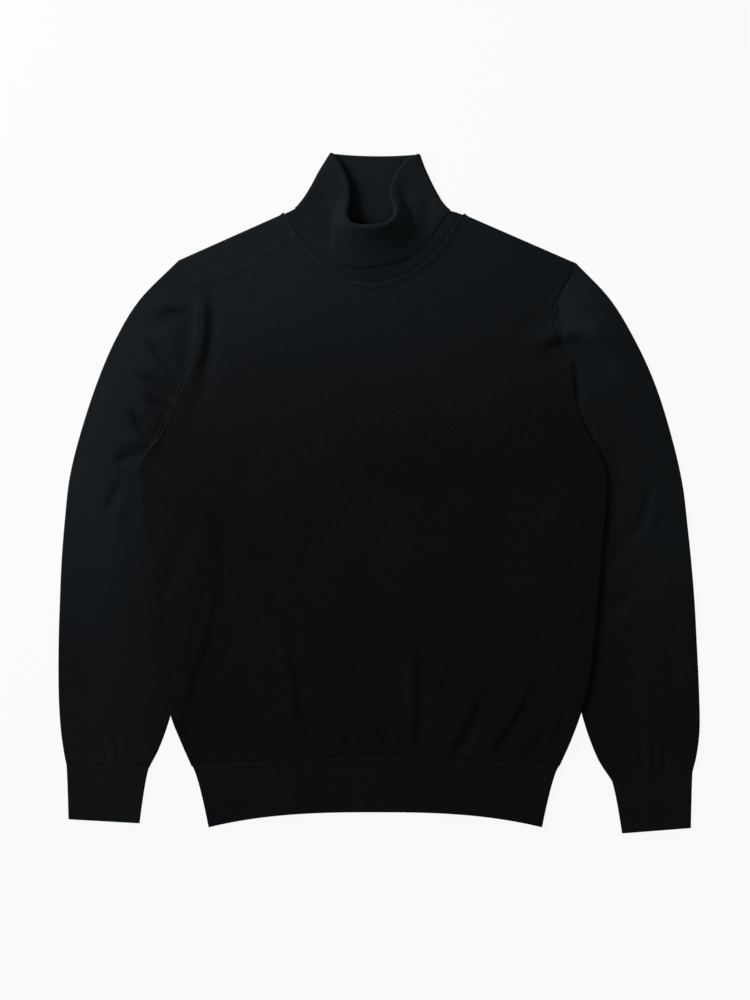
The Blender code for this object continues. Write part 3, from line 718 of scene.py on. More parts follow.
def set_inputs(node: bpy.types.Node, values: dict[int | str, object]) -> None:
    """Gives a node's inputs their values, or links those whose value is a socket."""
    for key, value in values.items():
        if isinstance(value, Node):
            value.tree.links.new(value.socket, node.inputs[key])
        else:
            node.inputs[key].default_value = value


class Shader:
    """Makes the nodes of one material."""

    def __init__(self, tree: bpy.types.NodeTree) -> None:
        """Keeps the tree that the nodes go into."""
        self.tree = tree

    def node(self, kind: str, settings: dict[str, object], inputs: dict[int | str, object],
             output: int | str = 0) -> Node:
        """Adds a node.

        Args:
            kind: Blender's name of the node type.
            settings: attributes, which are set before the sockets.
            inputs: value or link of each socket.
            output: the output that is handed back.

        Returns:
            The wrapped output socket.
        """
        return self.nodes(kind, settings, inputs, (output,))[0]

    def nodes(self, kind: str, settings: dict[str, object], inputs: dict[int | str, object],
              outputs: Sequence[int | str]) -> list[Node]:
        """Adds a node as above and hands back several of its outputs."""
        made = self.tree.nodes.new(kind)
        for key, value in settings.items():
            setattr(made, key, value)
        set_inputs(made, inputs)
        return [Node(self.tree, made.outputs[output]) for output in outputs]

    def noise(self, where: Node, scale: float, detail: float, roughness: float = 0.5) -> Node:
        """Noise texture at the given places."""
        return self.node("ShaderNodeTexNoise", {},
                         {"Vector": where, "Scale": scale, "Detail": detail,
                          "Roughness": roughness}, "Fac")

    def soft_step(self, value: Node, low: float, high: float) -> Node:
        """Smooth step from 0 at low to 1 at high."""
        return self.node("ShaderNodeMapRange", {"interpolation_type": "SMOOTHSTEP"},
                         {"Value": value, "From Min": low, "From Max": high})

    def mix(self, share: Node | float, first: object, second: object) -> Node:
        """Blend of two colours."""
        return self.node("ShaderNodeMix", {"data_type": "RGBA"},
                         {"Factor": share, 6: first, 7: second}, 2)

    def parts(self, vector: Node) -> list[Node]:
        """First and second parts of a vector."""
        return self.nodes("ShaderNodeSeparateXYZ", {}, {0: vector}, (0, 1))


@dataclass(frozen=True)
class Wool:
    """Finish of matt near-black wool, with painted light by place that makes it lighter from the
    hem to the shoulders and up the arm, and knit relief from its subclass.
    """

    name: str
    tone: float
    # Painted light that grows from the hem to the shoulders, and across the body by the tilt
    painted_light: float = 0.0
    painted_light_from: float = 0.1
    painted_light_to: float = 0.2
    painted_light_tilt: float = 0.0
    # Painted light of the arm beyond the body's side, at the cuff and at the shoulder
    painted_arm_low: float = 0.0
    painted_arm_high: float = 0.0
    painted_arm_from: float = 0.22
    painted_arm_to: float = 0.32
    dark: Triple = (0.0027, 0.0024, 0.0029)
    light: Triple = (0.0099, 0.0128, 0.0150)
    roughness: float = 0.86
    sheen: float = 0.02
    rough_span: float = 0.12
    sheen_rough: float = 0.55
    sheen_tint: Triple = (0.62, 0.72, 0.82)
    specular: float = 0.03
    # Noises of the colour: scale, detail, roughness, share
    cloud: Quadruple = (9.0, 4.0, 0.55, 0.3)
    fuzz: Quadruple = (900.0, 3.0, 0.6, 0.42)
    fibre: Quadruple = (225.0, 2.0, 0.7, 0.45)
    streak: Quadruple = (420.0, 2.0, 0.6, 0.22)
    streak_stretch: Triple = (1.0, 0.12, 1.0)
    painted_arm_span: Pair = (-0.22, 0.0)
    lint_scale: float = 70.0
    lint_size: float = 0.035
    lint_rare: float = 0.7
    lint_colour: Triple = (0.028, 0.030, 0.032)
    # Shares of the stitches, the fuzz and the fibres in the relief
    relief_shares: Triple = (0.7, 0.3, 0.25)
    bump: float = 0.35
    relief: float = 0.0003

    def stitches(self, shader: Shader, across: Node, along: Node) -> Node:
        """Height of the knit from 0 to 1."""
        raise NotImplementedError

    def material(self) -> bpy.types.Material:
        """Builds the material: mottled black, fine fuzz, sparse lint and raised stitches.

        Returns:
            The new material.
        """
        material, surface = new_material(self.name)
        shader = Shader(material.node_tree)
        place = shader.node("ShaderNodeTexCoord", {}, {}, "Object")
        cloth = shader.node("ShaderNodeUVMap", {"uv_map": "cloth"}, {})
        across, along = shader.parts(cloth)
        x, y = shader.parts(place)
        wales = shader.node("ShaderNodeVectorMath", {"operation": "MULTIPLY"},
                            {0: cloth, 1: self.streak_stretch})
        rows = ((place, self.cloud), (place, self.fuzz), (place, self.fibre), (wales, self.streak))
        noises = [shader.noise(where, *row[:3]) for where, row in rows]
        mottle = sum((noise - 0.5) * row[3] for noise, (_, row) in zip(noises, rows))
        _, fuzz, fibre, _ = noises
        # Painted light: the tone rises from the hem to the shoulders, tilts across the body and
        # rises up the arm
        painted_to_shoulders = shader.soft_step(y, self.painted_light_from, self.painted_light_to)
        painted_body_light = painted_to_shoulders * ((x * self.painted_light_tilt) + self.painted_light)
        tone = mottle + self._painted_light_of_arm(shader, x, y, painted_body_light) + self.tone
        wool = shader.mix(tone, (*self.dark, 1.0), (*self.light, 1.0))
        knit, soft, loose = self.relief_shares
        height = (self.stitches(shader, across, along) * knit) + (fuzz * soft) + (fibre * loose)
        set_inputs(surface, {
            "Base Color": shader.mix(self._lint(shader, place), wool, (*self.lint_colour, 1.0)),
            "Roughness": (fuzz * self.rough_span) + (self.roughness - self.rough_span / 2),
            "Normal": shader.node("ShaderNodeBump", {}, {
                "Strength": self.bump, "Distance": self.relief, "Height": height}),
            "Sheen Weight": self.sheen, "Sheen Roughness": self.sheen_rough,
            "Sheen Tint": (*self.sheen_tint, 1.0), "Specular IOR Level": self.specular})
        return material

    def _painted_light_of_arm(self, shader: Shader, x: Node, y: Node, painted_body_light: Node) -> Node:
        """Painted light of the upper arm beyond the body's own, for the finishes that have it."""
        if not self.painted_arm_high:
            return painted_body_light
        outer = shader.soft_step(x.size(), self.painted_arm_from, self.painted_arm_to)
        upper = shader.soft_step(y, *self.painted_arm_span)
        painted_arm_light = (upper * (self.painted_arm_high - self.painted_arm_low)) + self.painted_arm_low
        return (painted_body_light * (1.0 - outer)) + (painted_arm_light * outer)

    def _lint(self, shader: Shader, place: Node) -> Node:
        """Mask of the few pale specks: near a cell's centre, in one cell of many."""
        distance, colour = shader.nodes("ShaderNodeTexVoronoi", {},
                                        {"Scale": self.lint_scale, "Vector": place},
                                        ("Distance", "Color"))
        pick, _ = shader.parts(colour)
        return distance.below(self.lint_size) * pick.above(self.lint_rare)


@dataclass(frozen=True)
class Jersey(Wool):
    """Plain knit: V-shaped stitches in upright wales."""

    wale: float = 0.0015
    course: float = 0.0011
    slant: float = 2.4
    wale_share: float = 0.65

    def stitches(self, shader: Shader, across: Node, along: Node) -> Node:
        """Wales are |sin| across the cloth, and courses slant with them into a V."""
        wale = (across * (np.pi / self.wale)).sine().size()
        slanted = (along * (2 * np.pi / self.course)) + (wale * self.slant)
        return (wale * self.wale_share) + ((slanted.sine() * 0.5 + 0.5) * (1 - self.wale_share))


@dataclass(frozen=True)
class Rib(Wool):
    """Rib knit: rounded cords with a groove between them."""

    cord: float = 0.0018
    course: float = 0.0011
    roundness: float = 0.6
    cord_share: float = 0.85

    def stitches(self, shader: Shader, across: Node, along: Node) -> Node:
        """Cords are a power of |sin| across the cloth, with faint courses."""
        cord = (across * (np.pi / self.cord)).sine().size() ** self.roundness
        course = (along * (2 * np.pi / self.course)).sine() * 0.5 + 0.5
        return (cord * self.cord_share) + (course * (1 - self.cord_share))


def wear(piece: bpy.types.Object, node: str, slot: Slot) -> None:
    """Attaches a cloth piece to the root body and hides the solid that it replaces."""
    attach(piece, "root")
    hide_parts(node)


# Body panels

@dataclass(frozen=True)
class Body:
    """Front and back panels, joined at the sides and the forward shoulder seams."""

    finish: Wool
    cell: float = 3.0
    back_cell: float = 4.6
    shoulder_width: float = 125.0
    chest_width: float = 532.0
    neck_width: float = 282.0
    side_length: float = 342.0
    armhole_length: float = 236.0
    flap_length: float = 32.0
    seam_strip: float = 3.0
    seam_drop: float = 0.25
    underarm_turn: Pair = (-24.0, 10.0)
    shoulder_lap: float = 0.4
    shoulder_step: float = 0.12
    shoulder_power: int = 6
    strip_turns: int = 5
    shoulder_turns: int = 6
    shoulder_settle: float = 0.4
    folds: Folds = Folds(rows=(
        (-215, -31, -224, -72, -247, -116, -2.2, 7),
        (-203, -45, -210, -88, -236, -135, 1.2, 8),
        (-178, -38, -192, -92, -215, -190, -1.4, 8),
        (-238, -225, -229, -240, -220, -268, -1.4, 6),
        (-228, -222, -218, -240, -208, -262, 0.8, 6),
        (-99, -150, -90, -215, -81, -281, -2.6, 6.5),
        (-111, -158, -103, -225, -93, -280, 1.6, 8),
        (-87, -175, -76, -225, -66, -276, 1.0, 9),
        (47, -162, 55, -240, 44, -292, -2.6, 6.5),
        (35, -165, 42, -240, 32, -290, 1.7, 8),
        (64, -180, 70, -240, 58, -290, 0.9, 9),
        (125, -222, 110, -268, 82, -306, -2.8, 6),
        (113, -218, 97, -262, 70, -304, 1.6, 7),
        (136, -232, 122, -272, 98, -304, 0.8, 7),
        (186, -213, 160, -266, 127, -307, -2.8, 6),
        (174, -211, 148, -262, 114, -304, 1.7, 7),
        (196, -236, 176, -274, 148, -304, 0.9, 7),
        (192, -272, 180, -292, 166, -307, -1.7, 5),
        (-147, -266, -130, -288, -107, -307, -1.9, 5),
        (-158, -264, -142, -288, -120, -306, 1.0, 5),
        (-113, -272, -98, -292, -84, -307, -1.7, 5),
        (-181, -278, -172, -297, -158, -312, -1.7, 5),
        (-130, -268, -116, -290, -98, -306, 1.0, 5),
        (2, -258, 7, -280, 9, -298, -1.5, 5),
        (-8, -262, -4, -282, -2, -298, 0.8, 5),
        (-30, -264, -33, -284, -35, -301, -1.2, 5),
        (-52, -270, -56, -286, -58, -301, -1.0, 5),
        (210, -250, 204, -276, 196, -302, -1.2, 5),
        (181, 205, 172, 192, 163, 183, -1.8, 6),
        (190, 186, 182, 172, 168, 160, 1.0, 7),
        (-208, 232, -187, 194, -223, 108, 5.4, 7.5),
        (-196, 233, -177, 186, -210, 92, -2.4, 6.5),
        (-214, 118, -226, 88, -244, 58, 1.2, 8),
        (188, 172, 204, 186, 220, 190, 6.4, 11),
        (195, 152, 206, 165, 224, 165, -8.5, 9.0),
        (206, 140, 212, 149, 220, 143, 1.6, 5),
        (224, 158, 216, 140, 222, 112, 1.4, 7),
        (-232, 84, -246, 52, -258, 36, -0.9, 6),
        (-120, 120, -60, 108, -10, 118, -0.5, 26),
        (40, 60, 90, 40, 150, 60, -0.5, 30),
        (-150, -20, -80, -40, -20, -20, 0.5, 34),
        (20, -60, 60, -110, 120, -140, 0.5, 30),
        (-60, 20, 0, 10, 60, -10, -0.4, 30),
        (-150, 214, -110, 236, -96, 262, -0.6, 12),
        (150, 222, 112, 242, 90, 268, -0.6, 12),
        (200, -60, 214, -110, 222, -170, 0.6, 14),
        (176, -70, 188, -130, 196, -200, -0.6, 14),
    ))
    back_folds: Folds = Folds(rows=(
        (-170, -40, -190, -130, -150, -230, 1.0, 9),
        (150, -60, 176, -150, 140, -250, 1.1, 9),
        (-60, -180, -52, -240, -60, -296, 1.2, 7),
        (40, -190, 46, -246, 36, -296, 1.1, 7),
        (96, -230, 84, -270, 62, -300, 1.1, 6),
        (-118, -236, -100, -274, -84, -300, 1.1, 6),
        (-186, 190, -150, 160, -120, 110, 0.9, 12),
        (180, 186, 150, 150, 126, 100, 0.9, 12),
        (-90, 60, 0, 40, 90, 66, 0.7, 18),
        (-40, 230, 0, 216, 44, 232, 0.8, 10),
        (-130, 20, -60, 0, -10, -50, 0.7, 16),
        (20, -20, 70, -60, 140, -80, 0.7, 16),
    ))
    gathers: Gathers = Gathers(height=0.14, pitch=3.1, beat=11.0, phases=(0.0, 0.7), depth=9.0,
                               sway=(1.3, 17.0))
    hem_ridges: Points = ((5.0, 0.7, 4.0),)
    neck_ridges: Points = ((2.2, 0.7, 2.2), (9.0, -0.5, 4.0))
    shoulder_ridges: Points = ((1.5, 0.3, 3.0),)
    armhole_crest: Triple = (0.0, 1.0, 3.2)
    armhole_painted_shade: Triple = (8.0, 1.0, 4.6)
    edge_reach: Pair = (1.0, 14.0)
    hem_points: int = 25
    # y, height of the crest on the armhole seam, depth of the groove beside it
    armhole_valley: dict[Side, Points] = each_side(
        [(240, 0.3, 0.2), (205, 0.4, 0.3), (135, 0.4, 0.3), (60, 0.4, 0.1), (26, 0.2, 0.0)],
        [(240, 0.0, 0.3), (215, 0.1, 0.5), (180, 0.2, 0.8), (160, 0.4, 0.3), (120, 0.9, 0.0),
         (60, 0.9, 0.0), (20, 0.4, 0.0)])
    flat_front: Triple = (0.532, 0.612, 0.268)
    flat_back: Triple = (0.532, 0.66, 0.285)

    def columns(self, cell: float) -> tuple[Array, int]:
        """Places of the columns across the chest, and the number of cells of each shoulder."""
        shoulder = round(self.shoulder_width / cell)
        neck = round(self.neck_width / cell)
        edge = spaced(shoulder, CLOSER, 0.0) * self.shoulder_width / self.chest_width
        inner = np.linspace(edge[-1], 1 - edge[-1], neck + 1)
        return np.concatenate([edge[:-1], inner, 1 - edge[-2::-1]]), shoulder

    def top_edge(self, shoulders: dict[Side, Points], neck: Points, cell: float) -> Array:
        """Top edge of a panel: shoulder, neck and shoulder, one point for each column."""
        places, shoulder = self.columns(cell)
        edge = spaced(shoulder, CLOSER, 0.0)
        inner = np.linspace(0, 1, len(places) - 2 * shoulder)
        right, left = (smooth_path(shoulders[side], edge) for side in Side)
        return np.vstack([right[:-1], smooth_path(neck, inner), left[::-1][1:]])

    def front_height(self, x: Array, y: Array) -> Array:
        """Front panel: a step above the back panel, with folds, gathers and seam ridges."""
        inside = np.minimum(distance_to(PATTERN.side[Side.RIGHT], x, y),
                            distance_to(PATTERN.side[Side.LEFT], x, y))
        relief = self.folds.relief(x, y)
        above_hem = distance_to(PATTERN.hem_seam(np.linspace(0, 1, self.hem_points)), x, y)
        relief = relief + self.gathers.relief(x, above_hem) + ridges(above_hem, self.hem_ridges)
        relief = relief * ramp(inside, *self.edge_reach)
        relief = relief + ridges(distance_to(PATTERN.neck_front, x, y), self.neck_ridges)
        for side in Side:
            seam = distance_to(PATTERN.forward_seam[side], x, y)
            arm = distance_to(PATTERN.armhole[side], x, y)
            crest, valley = (falling(self.armhole_valley[side], y, n) for n in (1, 2))
            relief = (relief + ridges(seam, self.shoulder_ridges)
                      + ridge(arm, *self.armhole_crest) * crest
                      - ridge(arm, *self.armhole_painted_shade) * valley)
        loft = np.clip(LAYERS.loft + relief, LAYERS.least_loft, LAYERS.most_loft)
        return LAYERS.back + LAYERS.drape(x, y) + LAYERS.jersey + LAYERS.gap + loft

    def back_height(self, x: Array, y: Array) -> Array:
        """Back panel: on the table, with folds that rise no higher than the front leaves room."""
        level = LAYERS.back_height(x, y)
        room = self.front_height(x, y) - level - LAYERS.jersey - LAYERS.gap / 2
        return level + np.clip(self.back_folds.relief(x, y), 0.0, np.maximum(room, 0.0))

    def plan(self, top: Array, edges: dict[Side, Array], split: int, cell: float) -> Array:
        """Plan of a panel: one patch below the underarm row and one above it.

        Args:
            top: points of its top edge.
            edges: points of its side edges, from the hem up.
            split: row at the underarm.
            cell: size of its cells.

        Returns:
            Grid of x and y.
        """
        u, _ = self.columns(cell)
        right, left = edges[Side.RIGHT], edges[Side.LEFT]
        chest = right[split] + (left[split] - right[split]) * u[:, None]
        bottom, top = PATTERN.hem_seam(u), top.copy()
        bottom[0], bottom[-1] = right[0], left[0]
        top[0], top[-1] = right[-1], left[-1]
        parts = []
        for low, high, rows in ((bottom, chest, slice(split + 1)),
                                (chest, top, slice(split, None))):
            v = length_shares(right[rows])[:, None]
            parts.append(patch(low[None], high[None], right[rows, None], left[rows, None],
                               u[None], v))
        return np.vstack([parts[0], parts[1][1:]])

    def surface(self, height: HeightAt, top: Array, turn: int, cell: float,
                flap_cells: int) -> Array:
        """Panel with its edges turned towards the other panel by a quarter circle.

        Args:
            height: level of the panel at x and y.
            top: points of its top edge.
            turn: 1 where the edges turn up, -1 where they turn down.
            cell: size of its cells.
            flap_cells: rows of the edge above the forward seam.

        Returns:
            Grid of the panel.
        """
        split = round(self.side_length / cell)
        arm_cells = round(self.armhole_length / cell)
        lines = {}
        for side in Side:
            low = smooth_path(PATTERN.side[side], spaced(split, CLOSER, 0.0))
            high = PATTERN.armhole_points(side, arm_cells, max(flap_cells, 1))
            lines[side] = np.vstack([low, high[1:arm_cells + 1 + flap_cells]])
        above = np.linalg.norm(lines[Side.RIGHT] - lines[Side.RIGHT][split], axis=1)
        below_underarm = np.where(np.arange(len(above)) < split, -above, above)
        turned = 1 - ramp(below_underarm, *self.underarm_turn)
        width = self.seam_strip + (LAYERS.edge_radius - self.seam_strip) * turned
        drop = self.seam_drop + (LAYERS.edge_radius - self.seam_drop) * turned
        out = {side: outward_normal(line, side) for side, line in lines.items()}
        inset = {side: lines[side] - out[side] * width[:, None] for side in Side}
        plan = self.plan(top, inset, split, cell)
        sheet = np.dstack([plan, height(plan[..., 0], plan[..., 1])])
        angles = np.linspace(np.pi / 2, 0, self.strip_turns + 1)[:-1]
        strips = {}
        for side in Side:
            start = sheet[:, side.column]
            reach = width[:, None] * np.sin(angles)[None]
            place = start[:, None, :2] + out[side][:, None] * reach[..., None]
            level = start[:, None, 2] + turn * drop[:, None] * (1 - np.cos(angles))[None]
            strips[side] = np.concatenate([place, level[..., None]], axis=2)
        return np.hstack([strips[Side.RIGHT], sheet, strips[Side.LEFT][:, ::-1]])

    def _over_shoulders(self, last: Array, out: dict[Side, Array], flap_cells: int) -> Array:
        """Back panel beyond its folds: half a turn over them, then down to the forward seams.

        Args:
            last: the panel's row at the folds.
            out: unit vector out of each shoulder's fold.
            flap_cells: rows of the panel above the forward seams, half of those of each flap.

        Returns:
            Grid of the further rows.
        """
        cols, radius = len(last), LAYERS.edge_radius
        outward = np.where(np.arange(cols)[:, None] < cols // 2, out[Side.RIGHT], out[Side.LEFT])
        angles = np.linspace(0, np.pi, self.shoulder_turns + 1)[1:, None, None]
        over = np.concatenate([
            last[None, :, :2] + outward[None] * radius * np.sin(angles),
            last[None, :, 2:] + radius * (1 - np.cos(angles))], axis=2)
        goal_top = self.top_edge(PATTERN.forward_seam, PATTERN.neck_front, self.back_cell)
        goal = self.surface(self.front_height, goal_top, -1, self.back_cell, 0)[-1]
        turned = goal[:, 2] - self.front_height(goal[:, 0], goal[:, 1])
        goal[:, :2] -= left_normal(goal[:, :2]) * self.shoulder_lap
        share = np.linspace(0, 1, 2 * flap_cells + 1)[1:, None, None]
        flap = over[-1][None] + (goal - over[-1])[None] * share
        level = self.front_height(flap[..., 0], flap[..., 1]) + turned
        settled = ramp(share[..., 0], 0.0, self.shoulder_settle)
        flap[..., 2] = (over[-1, :, 2] * (1 - settled) + level * settled
                        + self.shoulder_step * share[..., 0] ** self.shoulder_power)
        return np.concatenate([over, flap])

    def build_front(self) -> None:
        """Builds the front panel."""
        top = self.top_edge(PATTERN.forward_seam, PATTERN.neck_front, self.cell)
        points = self.surface(self.front_height, top, -1, self.cell, 0)
        grid = Grid(points, lengths_along(points, 1), lengths_along(points, 0))
        piece = grid.wall("front_panel", LAYERS.jersey, self.finish.material())
        wear(piece, "front", Slot.JERSEY)
        width, length, area = self.flat_front

    def build_back(self) -> None:
        """Builds the back panel, carried over the shoulder folds and down to the forward seams."""
        cell = self.back_cell
        flap_cells = round(self.flap_length / cell)
        _, shoulder = self.columns(cell)
        radius = LAYERS.edge_radius
        fold, out = {}, {}
        for side in Side:
            line = np.linspace(PATTERN.shoulder_point[side], PATTERN.neck_point[side],
                               shoulder + 1)
            out[side] = outward_normal(line, side)[0]
            fold[side] = line - out[side] * radius
        top = self.top_edge(fold, PATTERN.neck_back, cell)
        points = self.surface(self.back_height, top, 1, cell, flap_cells)
        rows, cols = points.shape[:2]
        pull = ramp(np.arange(rows), rows - 1 - flap_cells, rows - 1)[:, None, None] * radius
        points[:, :self.strip_turns + 1, :2] -= pull * out[Side.RIGHT]
        points[:, -self.strip_turns - 1:, :2] -= pull * out[Side.LEFT]
        points = np.concatenate([points, self._over_shoulders(points[-1], out, flap_cells)])
        cells = np.ones((len(points) - 1, cols - 1), bool)
        neck_start = shoulder + self.strip_turns
        cells[rows - 1:, neck_start:cols - 1 - neck_start] = False
        along = lengths_along(points[:, :neck_start], 0)
        grid = Grid(points, lengths_along(points[:rows], 1), along, cells=cells)
        piece = grid.wall("back_panel", LAYERS.jersey, self.finish.material())
        wear(piece, "back", Slot.JERSEY)
        width, length, area = self.flat_back


# Sleeves, cuffs and hem

@dataclass(frozen=True)
class Sleeve:
    """One sleeve: a flat tube from the armhole to the cuff seam, and its rib cuff."""

    side: Side
    finish: Wool
    rib: Wool
    body: Body
    folds: Folds
    seam_drops: Points
    held_from: Pair
    seam_tuck: float
    flat: Pair = (0.28, 0.57)
    cuff_flat: Pair = (0.18, 0.062)
    under_folds: Folds = Folds(rows=(
        (262, 150, 284, 130, 306, 96, 1.0, 7),
        (250, 110, 270, 90, 296, 70, 1.1, 6),
        (268, 60, 290, 40, 318, 24, 1.2, 7),
        (275, -10, 295, -40, 325, -60, 1.1, 7),
        (262, -90, 290, -110, 330, -116, 0.9, 9),
        (270, -160, 300, -190, 340, -196, 0.8, 9),
        (300, -262, 304, -284, 308, -306, 1.0, 5),
        (322, -266, 322, -288, 322, -308, 1.0, 5),
    ))
    across_cells: int = 66
    along_cells: int = 210
    seam_rows: int = 5
    fold_turns: int = 7
    seam_gap: float = -0.6
    seam_hold: float = 6.0
    tuck_width: float = 1.3
    tuck_span: Quadruple = (198.0, 208.0, 246.0, 258.0)
    gathers: Gathers = Gathers(height=0.12, pitch=2.9, beat=9.5, phases=(0.8, 0.4), depth=11.0)
    cuff_ridges: Points = ((5.0, 0.7, 4.5),)
    edge_reach: Pair = (1.0, 15.0)
    under_reach: Pair = (3.0, 15.0)
    beside_body: Pair = (3.0, 16.0)
    beside_limits: Pair = (-0.3, 0.6)
    least_gap: float = 0.1
    flap_share: float = 0.12
    bulge_reach: float = 0.5
    cuff_cells: int = 24

    def height(self, x: Array, y: Array) -> Array:
        """Middle of the sleeve's upper wall: pressed flat beside and under the body."""
        edge = np.array(PATTERN.side[self.side], float)
        outward = (x - np.interp(y, edge[:, 1], edge[:, 0])) * self.side.outward
        past = np.where((outward > 0) | (y > edge[-1, 1]), distance_to(edge, x, y), 0.0)
        clear = ramp(past, *LAYERS.sleeve_clear)
        seam = [*PATTERN.armhole[self.side], PATTERN.shoulder_point[self.side]]
        arm = distance_to(seam, x, y)
        at_seam = self.body.front_height(x, y) - falling(self.seam_drops, y)
        hold = ridge(arm, 0.0, 1.0, self.seam_hold) * ramp(y, *self.held_from)
        relief = self.folds.relief(x, y)
        inside = self.inside(x, y, self.edge_reach)
        last = PATTERN.sleeve[self.side][-1]
        above_cuff = distance_to((last[:2], last[2:]), x, y)
        relief = relief + self.gathers.relief(x, above_cuff) + ridges(above_cuff, self.cuff_ridges)
        extra = LAYERS.sleeve_relief + relief * inside
        near_body = (ramp(past, *self.beside_body) * np.clip(relief, *self.beside_limits)
                     * (1 - clear) * inside)
        level = LAYERS.sleeve_top + clear * extra + near_body
        start, full, fading, end = self.tuck_span
        tuck = self.seam_tuck * ramp(y, start, full) * (1 - ramp(y, fading, end))
        level = level + (at_seam - level) * hold - ridge(arm, 0.0, tuck, self.tuck_width)
        return np.maximum(level, LAYERS.back + LAYERS.jersey + self.least_gap)

    def inside(self, x: Array, y: Array, reach: Pair) -> Array:
        """Share that grows from 0 near the sleeve's outer edge to 1 further in."""
        outer = np.array(PATTERN.sleeve[self.side], float)[:, :2]
        return ramp(distance_to(outer, x, y), *reach)

    def under_height(self, x: Array, y: Array, top: Array) -> Array:
        """Middle of the lower wall: on the table, with folds where the upper wall leaves room."""
        room = top - LAYERS.back - LAYERS.jersey - LAYERS.gap
        rise = (self.under_folds.relief(x * self.side.outward, y)
                * self.inside(x, y, self.under_reach))
        return LAYERS.back + np.clip(rise, 0.0, np.maximum(room, 0.0))

    def plan(self) -> tuple[Array, Array, Array]:
        """Plan of the upper wall: sections fan out from the armhole to the straight cuff seam.

        Returns:
            The grid of x and y, and the outer and the underarm edge.
        """
        table = np.array(PATTERN.sleeve[self.side], float)
        stations = np.linspace(0, len(table) - 1, self.along_cells + 1)
        sections = hermite(table, np.arange(len(table), dtype=float), stations)
        outer, inner = sections[:, :2], sections[:, 2:]
        flap = round(self.across_cells * self.flap_share)
        seam = PATTERN.armhole_points(self.side, self.across_cells - flap, flap)[::-1]
        w = length_shares(seam)
        chord = seam[-1] - seam[0]
        length = np.linalg.norm(chord)
        along = chord / length
        bulge = seam - (seam[0] + chord * w[:, None])
        span = inner - outer
        size = np.linalg.norm(span, axis=1, keepdims=True)
        way = span / size
        left = 1 - ramp(np.linspace(0, 1, len(outer)), 0.0, self.bulge_reach)
        keep = left[:, None] * size / length
        offset = ((bulge @ along)[None, :, None] * (way * keep)[:, None]
                  + (bulge @ quarter_turn(along))[None, :, None]
                  * (quarter_turn(way) * keep)[:, None])
        plan = outer[:, None] + span[:, None] * w[None, :, None] + offset
        start = seam + left_normal(seam) * self.side.outward * self.seam_gap
        fade = np.clip(1 - np.arange(len(outer)) / self.seam_rows, 0, 1)[:, None, None]
        return plan + (start - plan[0])[None] * fade, outer, inner

    def build(self) -> None:
        """Builds the sleeve and its cuff."""
        plan, outer, inner = self.plan()
        top = self.height(plan[..., 0], plan[..., 1])
        bottom = self.under_height(plan[..., 0], plan[..., 1], top)
        points = flat_tube(plan, top, bottom, outer, inner, self.fold_turns)
        grid = Grid.tube(points, flip=self.side is Side.LEFT)
        name = f"sleeve_{self.side.value}"
        piece = grid.wall(f"{name}_cloth", LAYERS.jersey, self.finish.material())
        wear(piece, name, Slot.JERSEY)
        self._build_cuff(top[-1], outer[-1], inner[-1])

    def _build_cuff(self, level: Array, outer: Array, inner: Array) -> None:
        """Builds the rib cuff below the sleeve's last section."""
        band = Band(name=f"cuff_{self.side.value}", finish=self.rib, flat=self.cuff_flat,
                    cells=self.cuff_cells, flip=self.side is Side.LEFT)
        corners = np.array(PATTERN.cuff[self.side], float)
        band.build(np.linspace(outer, inner, len(level)), level,
                   np.linspace(corners[:2], corners[2:], len(level)))


@dataclass(frozen=True)
class Band:
    """Rib band below a seam, a flat tube."""

    name: str
    finish: Wool
    flat: Pair
    cells: int = 26
    fold_turns: int = 7
    flip: bool = False
    flare: float = 0.7
    tuck: float = 0.9
    closer_end: float = 0.3
    waves: Gathers = Gathers(height=0.35, pitch=23.0, beat=41.0, phases=(0.0, 1.0), depth=np.inf)
    seam_ridges: Points = ((3.4, 0.5, 2.0), (0.0, -0.45, 1.6), (9.0, -0.3, 4.0))
    edge_ridges: Points = ((3.0, 0.3, 3.0),)

    def build(self, top: Array, level: Array, bottom: Array) -> None:
        """Builds the band between its seam and its lower edge.

        Args:
            top: plan of the seam.
            level: height of the piece above the seam.
            bottom: plan of the lower edge.
        """
        way = bottom.mean(axis=0) - top.mean(axis=0)
        length = np.linalg.norm(way)
        gap = -unit(way) * self.tuck
        share = spaced(self.cells, CLOSER, self.closer_end)
        weight = np.stack([share ** self.flare, share], axis=1)
        plan = top + gap + (bottom - top - gap) * weight[:, None]
        low = np.full(plan.shape[:2], LAYERS.rib / 2)
        end_level = LAYERS.rib / 2 + 2 * LAYERS.edge_radius
        high = level + (end_level - level) * share[:, None]
        across = np.linspace(0, np.linalg.norm(top[-1] - top[0]), top.shape[0])
        high = high + self.waves.relief(across, 0.0)[None] * np.sin(np.pi * share)[:, None]
        below = share[:, None] * length
        high = high + ridges(below, self.seam_ridges) + ridges(length - below, self.edge_ridges)
        high = np.maximum(high, low + LAYERS.rib + LAYERS.gap)
        points = flat_tube(plan, high, low, plan[:, 0], plan[:, -1], self.fold_turns)
        grid = Grid.tube(points, self.flip)
        piece = grid.wall(f"{self.name}_knit", LAYERS.rib, self.finish.material())
        wear(piece, self.name, Slot.RIB)


@dataclass(frozen=True)
class Hem:
    """Rib hem below the body, a flat tube."""

    finish: Wool
    body: Body
    flat: Pair = (0.86, 0.068)
    across_cells: int = 190

    def build(self) -> None:
        """Builds the hem band from the body's lower edge."""
        u = np.linspace(0, 1, self.across_cells + 1)
        top, bottom = PATTERN.hem_seam(u), PATTERN.hem_edge(u)
        level = self.body.front_height(top[:, 0], top[:, 1])
        band = Band(name="hem_rib", finish=self.finish, flat=self.flat)
        band.build(top, level, bottom)


# Collar

